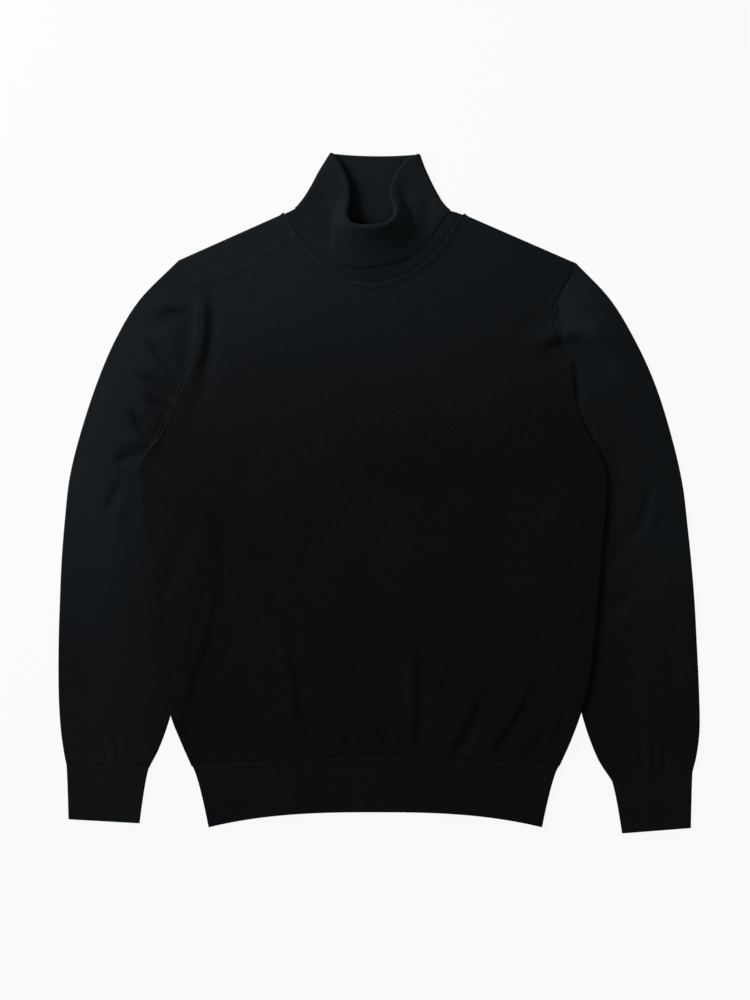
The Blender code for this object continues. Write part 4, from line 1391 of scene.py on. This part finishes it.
@dataclass(frozen=True)
class Collar:
    """Rib collar: a tube that stands up from the neck seam and is folded over outwards."""

    finish: Wool
    flat: Pair = (0.36, 0.145)
    front_cells: int = 150
    back_cells: int = 60
    stand_cells: int = 34
    roll_turns: int = 9
    fold_turns: int = 7
    side_fold: dict[Side, Points] = each_side(
        [(-109.0, 316.6), (-100.5, 320.4), (-93.5, 324), (-85.5, 332.5), (-76, 347), (-66, 365),
         (-53, 384)],
        [(97.0, 315.6), (88, 318.8), (79, 321.5), (71.5, 328.5), (64.5, 339.5), (55.5, 356.5),
         (48.5, 371), (43.5, 383)])
    crest_front: Points = ((-53, 384), (-47, 376), (-42, 366), (-37, 353), (-35, 340),
                           (-36, 326), (-37.5, 313), (-32.5, 304.5), (-19.5, 301), (-3.5, 301.5),
                           (10, 305), (17.5, 313), (18, 325), (14.5, 336.5), (15, 348),
                           (20.5, 360), (28.5, 373), (36, 380), (43.5, 383))
    crest_back: Points = ((-53, 384), (-33, 382.2), (-8, 381.2), (24, 381.7), (43.5, 383))
    # Share of the way round the front, rise, radius of the roll, share of the stand left bare
    front_table: Points = ((0.00, 0.0, 1.6, 0.17), (0.14, 2.4, 2.2, 0.17), (0.29, 7.0, 2.6, 0.20),
                           (0.36, 16.0, 2.8, 0.27), (0.43, 22.0, 2.8, 0.32),
                           (0.51, 24.0, 3.0, 0.35), (0.60, 20.0, 2.8, 0.31),
                           (0.70, 8.5, 2.6, 0.23), (0.86, 2.0, 2.2, 0.21), (1.00, 0.0, 1.6, 0.19))
    back_bare: float = 0.16
    side_radius: float = 1.3
    rise_power: float = 2.2
    rise_even: float = 0.5
    tuck_share: float = 0.06
    tuck_radius: float = 0.7
    approach: float = 0.33
    seam_gap: float = -0.9
    corner_cells: int = 4
    side_power: int = 5
    folds: Folds = Folds(rows=(
        (-46, 308, -50, 292, -45, 270, 1.8, 5),
        (-58, 316, -60, 298, -54, 280, -0.8, 6),
        (25, 352, 31, 318, 28, 272, -2.4, 6),
        (41, 356, 46, 320, 40, 284, 1.4, 7),
        (-62, 344, -68, 322, -66, 300, -1.0, 7),
        (57, 342, 63, 320, 56, 298, -0.9, 6),
        (-80, 322, -78, 308, -70, 294, 0.8, 5),
        (70, 318, 68, 306, 62, 294, 0.7, 5),
    ))
    facing: Pair = (0.3, 0.8)
    relief_limits: Pair = (-4.2, 2.4)
    relief_span: Quadruple = (0.12, 0.4, 0.86, 1.0)
    edge_settle: float = 0.3
    edge_power: int = 8
    edge_taper: Quadruple = (1.0, 0.92, 0.8, 0.55)

    @property
    def layer_step(self) -> float:
        """Distance between the standing and the turned-down layer."""
        return LAYERS.rib + LAYERS.gap

    def step_of(self, v: Array, bare: Array, roll: Array) -> tuple[Array, Array]:
        """Height of the standing layer over the table, and its distance to the outer layer.

        The distance grows from one layer's step, with the square of the share above half way, to
        the width of the roll.
        """
        step = self.layer_step + (2 * roll - self.layer_step) * np.clip(2 * v - 1, 0, 1) ** 2
        return LAYERS.rib / 2 + step * np.clip(v / bare, 0, 1), step

    def bases(self) -> tuple[Array, Array]:
        """Lower edges of the front and the back of the stand, just inside the neck seams."""
        tip = {side: np.array(self.side_fold[side][:1], float) for side in Side}
        lines = []
        for seam, cells in ((PATTERN.neck_front, self.front_cells),
                            (PATTERN.neck_back, self.back_cells)):
            line = smooth_path(seam, np.linspace(0, 1, cells + 1 - 2 * self.corner_cells))
            lines.append(line + left_normal(line) * self.seam_gap)
        front, back = lines
        head = np.linspace(tip[Side.RIGHT][0], front[0], self.corner_cells + 1)[:-1]
        tail = np.linspace(front[-1], tip[Side.LEFT][0], self.corner_cells + 1)[1:]
        back = np.vstack([tip[Side.RIGHT], back[1:-1], tip[Side.LEFT]])
        return np.vstack([head, front, tail]), back

    def front_plan(self, base: Array, crest: Array, w: Array, v: Array) -> Array:
        """Front of the stand: each line is a cubic that meets the crest squarely.

        Args:
            base, crest: points of its lower edge and of the roll.
            w: share of the way round the front at each of them.
            v: share of the way up at each place.

        Returns:
            Grid of x and y, bent at its ends to follow the side folds.
        """
        away = -left_normal(crest)
        reach = np.linalg.norm(crest - base, axis=1, keepdims=True) * self.approach
        first = base + (crest - base) / 3
        second = crest + away * reach
        t = v[..., None]
        line = ((1 - t) ** 3 * base + 3 * (1 - t) ** 2 * t * first
                + 3 * (1 - t) * t * t * second + t ** 3 * crest)
        for side, share in ((Side.RIGHT, 1 - w), (Side.LEFT, w)):
            end = side.column
            change = smooth_path(self.side_fold[side], v[:, end]) - line[:, end]
            line = line + change[:, None] * (share ** self.side_power)[:, None]
        return line

    def stand(self) -> tuple[Array, Array, Array]:
        """Standing layer from the neck seam to the roll.

        Returns:
            Its grid, the distance to the outer layer at each point, and the share of each row
            from the seam to the roll.
        """
        front_base, back_base = self.bases()
        w = length_shares(front_base)
        table = np.array(self.front_table)
        rise, roll, bare = hermite(table[:, 1:], table[:, 0], w).T
        crest = smooth_path(self.crest_front, w)
        back_w = np.linspace(0, 1, len(back_base))
        back_crest = smooth_path(self.crest_back, back_w)
        least_roll = table[0, 2]
        shares = np.linspace(0, 1, self.stand_cells + 1)[:, None]
        front_v = np.broadcast_to(shares, (len(shares), len(w)))
        back_v = np.broadcast_to(shares, (len(shares), len(back_w)))
        front = self.front_plan(front_base, crest, w, front_v)
        back = patch(back_base[None], back_crest[None],
                     smooth_path(self.side_fold[Side.RIGHT], shares),
                     smooth_path(self.side_fold[Side.LEFT], shares), back_w[None], back_v)
        back_level, back_step = self.step_of(back_v, np.full(len(back_w), self.back_bare),
                                             np.full(len(back_w), least_roll))
        _, front_step = self.step_of(front_v, bare, roll)
        flat_level, _ = self.step_of(front_v, bare, np.full(len(w), least_roll))
        tucked = np.exp(-(front_v / self.tuck_share) ** 2)
        side_radius = self.side_radius - (self.side_radius - self.tuck_radius) * tucked
        front_level = (flat_level + 2 * side_radius
                       + rise * (self.rise_even * front_v
                                 + (1 - self.rise_even) * front_v ** self.rise_power))
        folds = []
        for side in Side:
            end = side.column
            tip, radius = smooth_path(self.side_fold[side], shares[:, 0]), side_radius[:, end]
            out = outward_normal(tip, side)
            folds.append((tip, out))
            front[:, end] = back[:, end] = tip - out * radius[:, None]
            back_level[:, end] = front_level[:, end] - 2 * radius
        grid = close_tube(np.dstack([front, front_level]), np.dstack([back, back_level]), folds,
                          self.fold_turns)
        near_step, far_step = (np.repeat(front_step[:, side.column, None], self.fold_turns, axis=1)
                               for side in Side)
        step = np.concatenate([front_step, far_step, back_step[:, ::-1], near_step], axis=1)
        return grid, step, shares[:, 0]

    def normals(self, points: Array) -> Array:
        """Unit normals of a grid that closes on itself along its rows."""
        across = np.roll(points, -1, axis=1) - np.roll(points, 1, axis=1)
        return unit(np.cross(across, np.gradient(points, axis=0)))

    def outer_relief(self, points: Array, normal: Array) -> Array:
        """Height of the folds of the turned-down layer, where it faces up."""
        facing_up = ramp(normal[..., 2], *self.facing)
        relief = self.folds.relief(points[..., 0], points[..., 1])
        return np.clip(relief, *self.relief_limits) * facing_up

    def build(self) -> None:
        """Builds the collar: up the stand, over the roll and down to the free edge."""
        stand, step, shares = self.stand()
        out = self.normals(stand)
        table = np.array(self.front_table)
        first = int(round(float(table[:, 3].min()) * self.stand_cells))
        outer = stand + out * step[..., None]
        relief = self.outer_relief(outer, out)
        start, full, fading, end = self.relief_span
        fade = (ramp(shares, start, full) * (1 - ramp(shares, fading, end)))[:, None]
        outer = outer + out * (relief * fade)[..., None]
        stand = stand + out * (np.minimum(relief, 0.0) * fade)[..., None]
        top, normal, radius = stand[-1], out[-1], step[-1][:, None] / 2
        way = np.roll(top, -1, axis=0) - np.roll(top, 1, axis=0)
        rising = unit(np.cross(normal, way))
        angles = np.linspace(0, np.pi, self.roll_turns + 2)[1:-1, None, None]
        centre = (top + normal * radius)[None]
        roll = centre + radius[None] * (np.sin(angles) * rising[None] - np.cos(angles) * normal)
        down = self._turned_down(outer, shares, first)
        inner = self._turned_down(stand, shares, first)
        to_edge = np.linspace(0, 1, len(down))[:, None, None] ** self.edge_power
        down = down + (inner - down) * self.edge_settle * to_edge
        points = np.concatenate([stand, roll, down])
        thickness = np.full(len(points), LAYERS.rib)
        thickness[-len(self.edge_taper):] = LAYERS.rib * np.array(self.edge_taper)
        piece = Grid.tube(points).wall("collar_knit", thickness, self.finish.material())
        wear(piece, "collar", Slot.RIB)

    def _turned_down(self, outer: Array, shares: Array, rows: int) -> Array:
        """Outer layer from the roll down to its free edge, whose height varies round the neck.

        Args:
            outer: the layer, a row for each share of the stand.
            shares: share of each row from the seam to the roll.
            rows: rows of the stand that it leaves bare where it hangs lowest.

        Returns:
            The layer with its rows spread evenly from the roll to the free edge.
        """
        count = len(shares) - rows
        cols = outer.shape[1]
        front = self.front_cells + 2
        w = np.linspace(0, 1, front)
        table = np.array(self.front_table)
        bare = np.full(cols, self.back_bare)
        bare[:front] = hermite(table[:, 3:], table[:, 0], w)[:, 0]
        bare[front:front + self.fold_turns] = table[-1, 3]
        bare[-self.fold_turns:] = table[0, 3]
        place = (1 - np.linspace(0, 1, count)[:, None] * (1 - bare[None])) * (len(shares) - 1)
        low = np.clip(place.astype(int), 0, len(shares) - 2)
        part = (place - low)[..., None]
        column = np.broadcast_to(np.arange(cols)[None], low.shape)
        return outer[low, column] * (1 - part) + outer[low + 1, column] * part


@dataclass(frozen=True)
class Linking:
    """Chain of fine raised stitches that covers a seam."""

    name: str
    finish: Wool
    slot: Slot
    height: HeightAt
    radius: float = 0.55
    lift: float = 0.45
    pitch: float = 3.0
    bead: float = 0.26
    flat: float = 0.45
    rows_each: int = 5
    turns: int = 7
    hollow: float = 0.5
    least_end: float = 0.25
    route_points: int = 300

    def build(self, points: Points) -> None:
        """Builds the chain along a line on the cloth.

        At the length s its radius is the chain's own times 1 + bead cos(2 pi s / pitch), and it
        shrinks at both ends.

        Args:
            points: places that the seam passes.
        """
        rough = smooth_path(points, np.linspace(0, 1, self.route_points))
        share, length = length_shares(rough), running_length(rough)[-1]
        beads = round(length / self.pitch)
        place = np.linspace(0, 1, beads * self.rows_each + 1)
        x, y = (np.interp(place, share, rough[:, n]) for n in (0, 1))
        path = np.stack([x, y, self.height(x, y) + self.lift], axis=1)
        way = unit(np.gradient(path, axis=0))
        side = unit(np.cross(way, (0.0, 0.0, 1.0)))
        rising = np.cross(side, way)
        to_end = ramp(np.minimum(place, 1 - place) * length, 0.0, self.pitch)
        ends = self.least_end + (1 - self.least_end) * to_end
        radius = self.radius * (1 + self.bead * np.cos(2 * np.pi * beads * place)) * ends
        angles = np.linspace(0, 2 * np.pi, self.turns + 1)[:-1][None, :, None]
        ring = np.cos(angles) * side[:, None] + np.sin(angles) * rising[:, None] * self.flat
        grid_points = path[:, None] + radius[:, None, None] * ring
        grid = Grid(grid_points, around_lengths(grid_points), place * length, around=True)
        piece = grid.wall(self.name, radius * self.hollow, self.finish.material())
        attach(piece, "root")


@dataclass(frozen=True)
class Lint:
    """A few pale fibres that lie on the cloth."""

    body: Body
    hairs: Points = (
        (-6, -149, 30, 5.0), (36, -173, -50, 4.0), (104, -199, 15, 6.0), (178, -117, 70, 4.5),
        (-166, -300, -20, 5.0), (-92, 62, 20, 4.0), (60, 128, -35, 5.0), (-40, -64, 80, 3.5),
        (132, 22, 10, 4.0), (-150, -106, -65, 4.5), (12, 196, 40, 3.0))
    thickness: float = 0.16
    taper: float = 1.4
    clear: float = 0.75
    bend: float = 0.3
    rise: float = 0.8
    segments: int = 6
    mottle: Pair = (300.0, 1.0)
    colours: tuple[tuple[float, ...], tuple[float, ...]] = ((0.03, 0.034, 0.037, 1.0),
                                                            (0.075, 0.08, 0.084, 1.0))
    roughness: float = 0.8

    def build(self) -> None:
        """Builds the fibres: each a thin arc, three-sided, that rises a little in its middle."""
        rows = np.array(self.hairs, float)
        heading = np.radians(rows[:, 2])[:, None]
        share = np.linspace(-0.5, 0.5, self.segments + 1)[None]
        bow = self.bend * (0.25 - share ** 2)
        along = share * rows[:, 3:]
        aside = bow * rows[:, 3:]
        x = rows[:, :1] + along * np.cos(heading) - aside * np.sin(heading)
        y = rows[:, 1:2] + along * np.sin(heading) + aside * np.cos(heading)
        z = self.body.front_height(x, y) + self.clear + self.rise * bow
        path = np.stack([x, y, z], axis=2)
        width = self.thickness / 2 * (1 - self.taper * np.abs(share))[..., None, None]
        angles = np.radians([90.0, 210.0, 330.0])
        across = np.stack([-np.sin(heading), np.cos(heading)], axis=2)[:, :, None]
        ring = np.concatenate([across * np.cos(angles)[None, None, :, None],
                               np.broadcast_to(np.sin(angles)[None, None, :, None],
                                               (len(rows), 1, 3, 1))], axis=3)
        points = (path[:, :, None] + width * ring).reshape(-1, 3) * MM
        size = 3 * (self.segments + 1)
        faces = []
        for start in range(0, len(rows) * size, size):
            faces += [tuple(start + n for n in (2, 1, 0)),
                      tuple(start + size - 3 + n for n in (0, 1, 2))]
            faces += [(start + 3 * i + j, start + 3 * i + (j + 1) % 3,
                       start + 3 * i + 3 + (j + 1) % 3, start + 3 * i + 3 + j)
                      for i in range(self.segments) for j in range(3)]
        mesh = bpy.data.meshes.new("lint")
        mesh.from_pydata([tuple(point) for point in points], [], faces)
        material, surface = new_material("pale_fibre")
        shader = Shader(material.node_tree)
        place = shader.node("ShaderNodeTexCoord", {}, {}, "Object")
        set_inputs(surface, {
            "Base Color": shader.mix(shader.noise(place, *self.mottle), *self.colours),
            "Roughness": self.roughness})
        mesh.materials.append(material)
        piece = add_object("lint", mesh)
        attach(piece, "root")


# Studio

@dataclass(frozen=True)
class Studio:
    """Pale floor, soft light from the upper left and a camera straight above."""

    centre: Pair = (-0.0046, -0.008)
    view_height: float = 1.14
    distance: float = 3.0
    sensor: float = 36.0
    floor_size: float = 8.0
    floor_tone: float = 0.02
    floor_roughness: float = 0.9
    world_light: float = 0.30
    key_power: float = 25.5
    key_size: float = 0.55
    key_place: Triple = (-1.15, 0.95, 0.85)
    floor_glow: float = 0.9245

    def build(self) -> None:
        """Makes the floor, the lights and the camera."""
        self._floor()
        self._light()
        self._camera()

    def _floor(self) -> None:
        """Plain floor, a hair below the sweater."""
        half = self.floor_size / 2
        mesh = bpy.data.meshes.new("floor")
        corners = ((-1, -1), (1, -1), (1, 1), (-1, 1))
        mesh.from_pydata([(x * half, y * half, -FLOOR_GAP) for x, y in corners], [],
                         [(0, 1, 2, 3)])
        material, surface = new_material("pale_floor")
        set_inputs(surface, {
            "Base Color": (*([self.floor_tone] * 3), 1.0), "Roughness": self.floor_roughness,
            "Emission Color": WHITE, "Emission Strength": self.floor_glow})
        mesh.materials.append(material)
        add_object("floor", mesh)

    def _light(self) -> None:
        """Even world light and one soft key light from the upper left."""
        world = bpy.data.worlds.new("studio")
        world.use_nodes = True
        set_inputs(world.node_tree.nodes["Background"],
                   {"Color": WHITE, "Strength": self.world_light})
        bpy.context.scene.world = world
        bpy.context.scene.view_settings.view_transform = "Standard"
        lamp = bpy.data.lights.new("key", "AREA")
        lamp.energy = self.key_power
        lamp.size = self.key_size
        key = add_object("key", lamp)
        key.location = self.key_place
        aim = -unit(np.array(self.key_place))
        key.rotation_euler = (np.arccos(-aim[2]), 0.0, np.arctan2(aim[1], aim[0]) - np.pi / 2)

    def _camera(self) -> None:
        """Camera straight above, with the frame's height fitted to the sensor's long side."""
        lens = bpy.data.cameras.new("camera")
        lens.sensor_width = self.sensor
        lens.lens = self.sensor * self.distance / self.view_height
        camera = add_object("camera", lens)
        camera.location = (*self.centre, self.distance)
        bpy.context.scene.camera = camera


def clear_default_scene() -> None:
    """Removes whatever the default scene holds besides the frame."""
    for name in ("Cube", "Light", "Camera"):
        if name in bpy.data.objects:
            bpy.data.objects.remove(bpy.data.objects[name], do_unlink=True)


# Routes of the chains beside and in the armhole seams
ARMHOLE_END = (-226.5, 261.0)
# The groove routes carry dark chains: painted shade along the grooves beside the left armhole
PAINTED_SHADE_GROOVES = {"upper": [(221, 254), (214, 243), (206.5, 230), (201.5, 219)],
           "lower": [(203, 215), (203.5, 209), (201.5, 203), (199.8, 197)]}
LEFT_CHAIN = [(220, 142), (216.5, 152), (207, 168), (200.5, 183), (199.5, 197)]
RIGHT_STITCHES = [(-271, 24), (-266.5, 41), (-256, 59), (-245, 83), (-232, 110), (-224, 135),
                  (-218, 160), (-215, 185), (-215, 207), (-219, 230), (-226, 250)]

RIGHT_SLEEVE_FOLDS = Folds(rows=(
    (-236, 196, -262, 120, -284, 34, 4.4, 32),
    (-290, 130, -318, 60, -326, -20, 1.2, 26),
    (-244, 198, -226, 205, -207, 176, -10.0, 8.0),
    (-256, 214, -240, 222, -218, 204, 2.0, 8),
    (-248, 182, -236, 186, -226, 170, 1.2, 6),
    (-263, 170, -249, 158, -231, 135, -5.2, 5.4),
    (-252, 180, -238, 166, -224, 148, 0.9, 6),
    (-273, 135, -252, 123, -228, 100, -6.0, 5.4),
    (-274, 150, -254, 138, -233, 122, 1.1, 6),
    (-264, 111, -250, 99, -234, 81, -5.6, 5.2),
    (-268, 127, -252, 116, -238, 98, 0.9, 5),
    (-281, 95, -268, 66, -240, 50, -10.0, 5.6),
    (-276, 104, -270, 86, -250, 70, 1.5, 6),
    (-296, 36, -276, 38, -246, 34, -11.0, 6.4),
    (-300, 58, -284, 60, -266, 54, 1.6, 6),
    (-300, 31, -284, 33, -266, 27, 1.8, 7),
    (-272, 15, -288, -6, -303, -30, 1.6, 7),
    (-291, 14, -302, -4, -309, -26, -2.6, 6.5),
    (-262, 6, -272, -14, -290, -40, -1.2, 6),
    (-318, -272, -311, -290, -308, -308, -1.5, 4.5),
    (-309, -270, -304, -290, -302, -308, 0.8, 4.5),
    (-300, -268, -297, -288, -296, -308, -1.5, 4.5),
    (-284, -276, -285, -292, -287, -308, -1.3, 4.5),
    (-332, -282, -328, -296, -326, -308, -1.2, 4.5),
    (-300, -60, -306, -120, -300, -180, 0.7, 16),
    (-335, 40, -345, -20, -346, -90, 0.6, 12),
    (-330, -130, -336, -190, -330, -250, -0.7, 12),
    (-262, -200, -276, -236, -292, -262, -0.7, 9),
    (-290, -190, -304, -230, -312, -266, 0.6, 9),
))
RIGHT_SEAM_DROPS = ((270, 0.0), (60, 0.0), (40, 0.4))

LEFT_SLEEVE_FOLDS = Folds(rows=(
    (198, 164, 224, 206, 272, 154, 6.4, 12),
    (214, 226, 240, 206, 268, 160, 2.6, 22),
    (240, 190, 262, 160, 280, 110, 3.0, 24),
    (290, 130, 314, 70, 322, -10, 1.0, 26),
    (200, 142, 222, 180, 262, 142, -14.0, 11.0),
    (212, 140, 220, 146, 230, 138, 1.6, 5),
    (234, 158, 227, 150, 222, 138, -1.6, 4),
    (246, 160, 262, 146, 272, 122, -1.2, 6),
    (222, 140, 220, 118, 228, 88, -1.6, 6),
    (228, 88, 240, 62, 259, 24, -1.9, 7),
    (210, 188, 234, 200, 262, 178, 0.8, 8),
    (309, 17, 308, -34, 281, -57, -2.8, 5.5),
    (281, -57, 268, -72, 251, -92, -2.6, 5.5),
    (281, -6, 273, -42, 257, -68, 2.2, 6),
    (272, -12, 265, -36, 254, -60, -2.0, 4.5),
    (319, 12, 317, -40, 289, -72, 1.0, 8),
    (262, -100, 272, -92, 286, -78, 0.9, 7),
    (290, -109, 278, -128, 253, -147, -1.8, 7),
    (297, -118, 284, -140, 262, -158, 1.0, 8),
    (298, -282, 300, -300, 302, -320, -1.5, 4.5),
    (306, -280, 307, -300, 308, -320, 0.8, 4.5),
    (314, -278, 313, -298, 314, -320, -1.5, 4.5),
    (327, -284, 326, -302, 326, -322, -1.3, 4.5),
    (284, -290, 287, -306, 290, -324, -1.2, 4.5),
    (300, 60, 316, 0, 322, -60, 0.6, 14),
    (330, -120, 336, -190, 330, -250, -0.7, 12),
    (262, -200, 280, -240, 296, -270, -0.7, 9),
    (292, -190, 306, -236, 314, -270, 0.6, 9),
))
LEFT_SEAM_DROPS = ((270, 0.0), (150, 0.0), (136, 1.4), (120, 2.0), (80, 2.2), (20, 1.6))


def link_seams(body: Body, right_sleeve: Sleeve) -> None:
    """Lays the chains of stitches along the neck, shoulder and armhole seams.

    Args:
        body: the panels that the chains lie on.
        right_sleeve: the sleeve that the stitches beside its armhole lie on.
    """
    # Raised linking stitches whose lighter yarn colour is a painted highlight of the light the
    # stitches catch
    painted_highlight_yarn = Jersey(name="black_painted_highlight_yarn", tone=0.75, light=(0.0148, 0.0183, 0.0210))
    # The seam yarn has painted light too, lighter towards the shoulders
    plain_yarn = Jersey(name="black_seam_yarn", tone=0.42, painted_light=0.35, painted_light_from=0.02, painted_light_to=0.27)
    # Darker yarn laid along the grooves beside the left armhole: painted shade
    painted_shade_yarn = Jersey(name="black_painted_shade_yarn", tone=0.12, dark=(0.0030, 0.0036, 0.0041))
    right_tip, left_tip = (PATTERN.neck_point[side] for side in Side)
    Linking("neck_linking", painted_highlight_yarn, Slot.RIB, body.front_height, radius=1.15, lift=0.5).build(
        [right_tip, *PATTERN.neck_front, left_tip])
    for side in Side:
        Linking(f"shoulder_linking_{side.value}", plain_yarn, Slot.JERSEY, body.front_height,
                radius=0.9, lift=0.4).build(PATTERN.forward_seam[side])
    Linking("armhole_linking_right", plain_yarn, Slot.JERSEY, body.front_height, radius=1.0,
            lift=0.35).build([*PATTERN.armhole[Side.RIGHT], ARMHOLE_END])
    # Chains of painted shade along the grooves
    for part, points in PAINTED_SHADE_GROOVES.items():
        Linking(f"armhole_groove_{part}", painted_shade_yarn, Slot.JERSEY, body.front_height, radius=1.3,
                lift=0.1, bead=0.08).build(points)
    Linking("armhole_linking_left", body.finish, Slot.JERSEY, body.front_height, radius=1.1,
            lift=0.15, bead=0.0).build(LEFT_CHAIN)
    Linking("armhole_stitches_right", painted_highlight_yarn, Slot.JERSEY, right_sleeve.height, radius=0.6,
            lift=0.5).build(RIGHT_STITCHES)


def main() -> None:
    """Builds the pieces in order and reports each one."""
    logging.basicConfig(level=logging.INFO, format="%(name)s: %(message)s")
    clear_default_scene()
    # Painted light on the body: lighter towards the shoulders and towards the wearer's right
    jersey = Jersey(name="black_jersey", tone=0.24, painted_light=0.53, painted_light_from=0.02, painted_light_to=0.29,
                    painted_light_tilt=-0.55)
    rib = Rib(name="black_rib", tone=0.33)
    cuff_rib = Rib(name="black_cuff_rib", tone=0.48)
    # Painted light on the collar: a high tone, lighter towards the wearer's left
    collar_rib = Rib(name="black_collar_rib", tone=0.84, painted_light_tilt=2.2)
    body = Body(finish=jersey)
    body.build_back()
    LOG.info("back panel built")
    body.build_front()
    LOG.info("front panel built")
    # Painted light on each sleeve: lighter towards the shoulder, over the body and up the arm
    # beyond the body's side
    sleeves = [
        Sleeve(side=Side.RIGHT, rib=cuff_rib, body=body, folds=RIGHT_SLEEVE_FOLDS,
               seam_drops=RIGHT_SEAM_DROPS, held_from=(16.0, 44.0), seam_tuck=0.0,
               finish=Jersey(name="black_right_sleeve_jersey", tone=0.25, painted_light=0.47,
                             painted_light_from=0.02, painted_light_to=0.27, painted_arm_low=0.2, painted_arm_high=0.56)),
        Sleeve(side=Side.LEFT, rib=cuff_rib, body=body, folds=LEFT_SLEEVE_FOLDS,
               seam_drops=LEFT_SEAM_DROPS, held_from=(38.0, 75.0), seam_tuck=0.9,
               finish=Jersey(name="black_left_sleeve_jersey", tone=0.25, painted_light=0.78,
                             painted_light_from=0.0, painted_light_to=0.25, painted_arm_low=0.16, painted_arm_high=0.38))]
    for sleeve in sleeves:
        sleeve.build()
        LOG.info("%s sleeve and cuff built", sleeve.side.value)
    Hem(finish=rib, body=body).build()
    LOG.info("hem built")
    Collar(finish=collar_rib).build()
    LOG.info("collar built")
    link_seams(body, sleeves[0])
    LOG.info("linking built")
    Lint(body=body).build()
    LOG.info("lint laid")
    Studio().build()


if __name__ == "__main__":
    main()
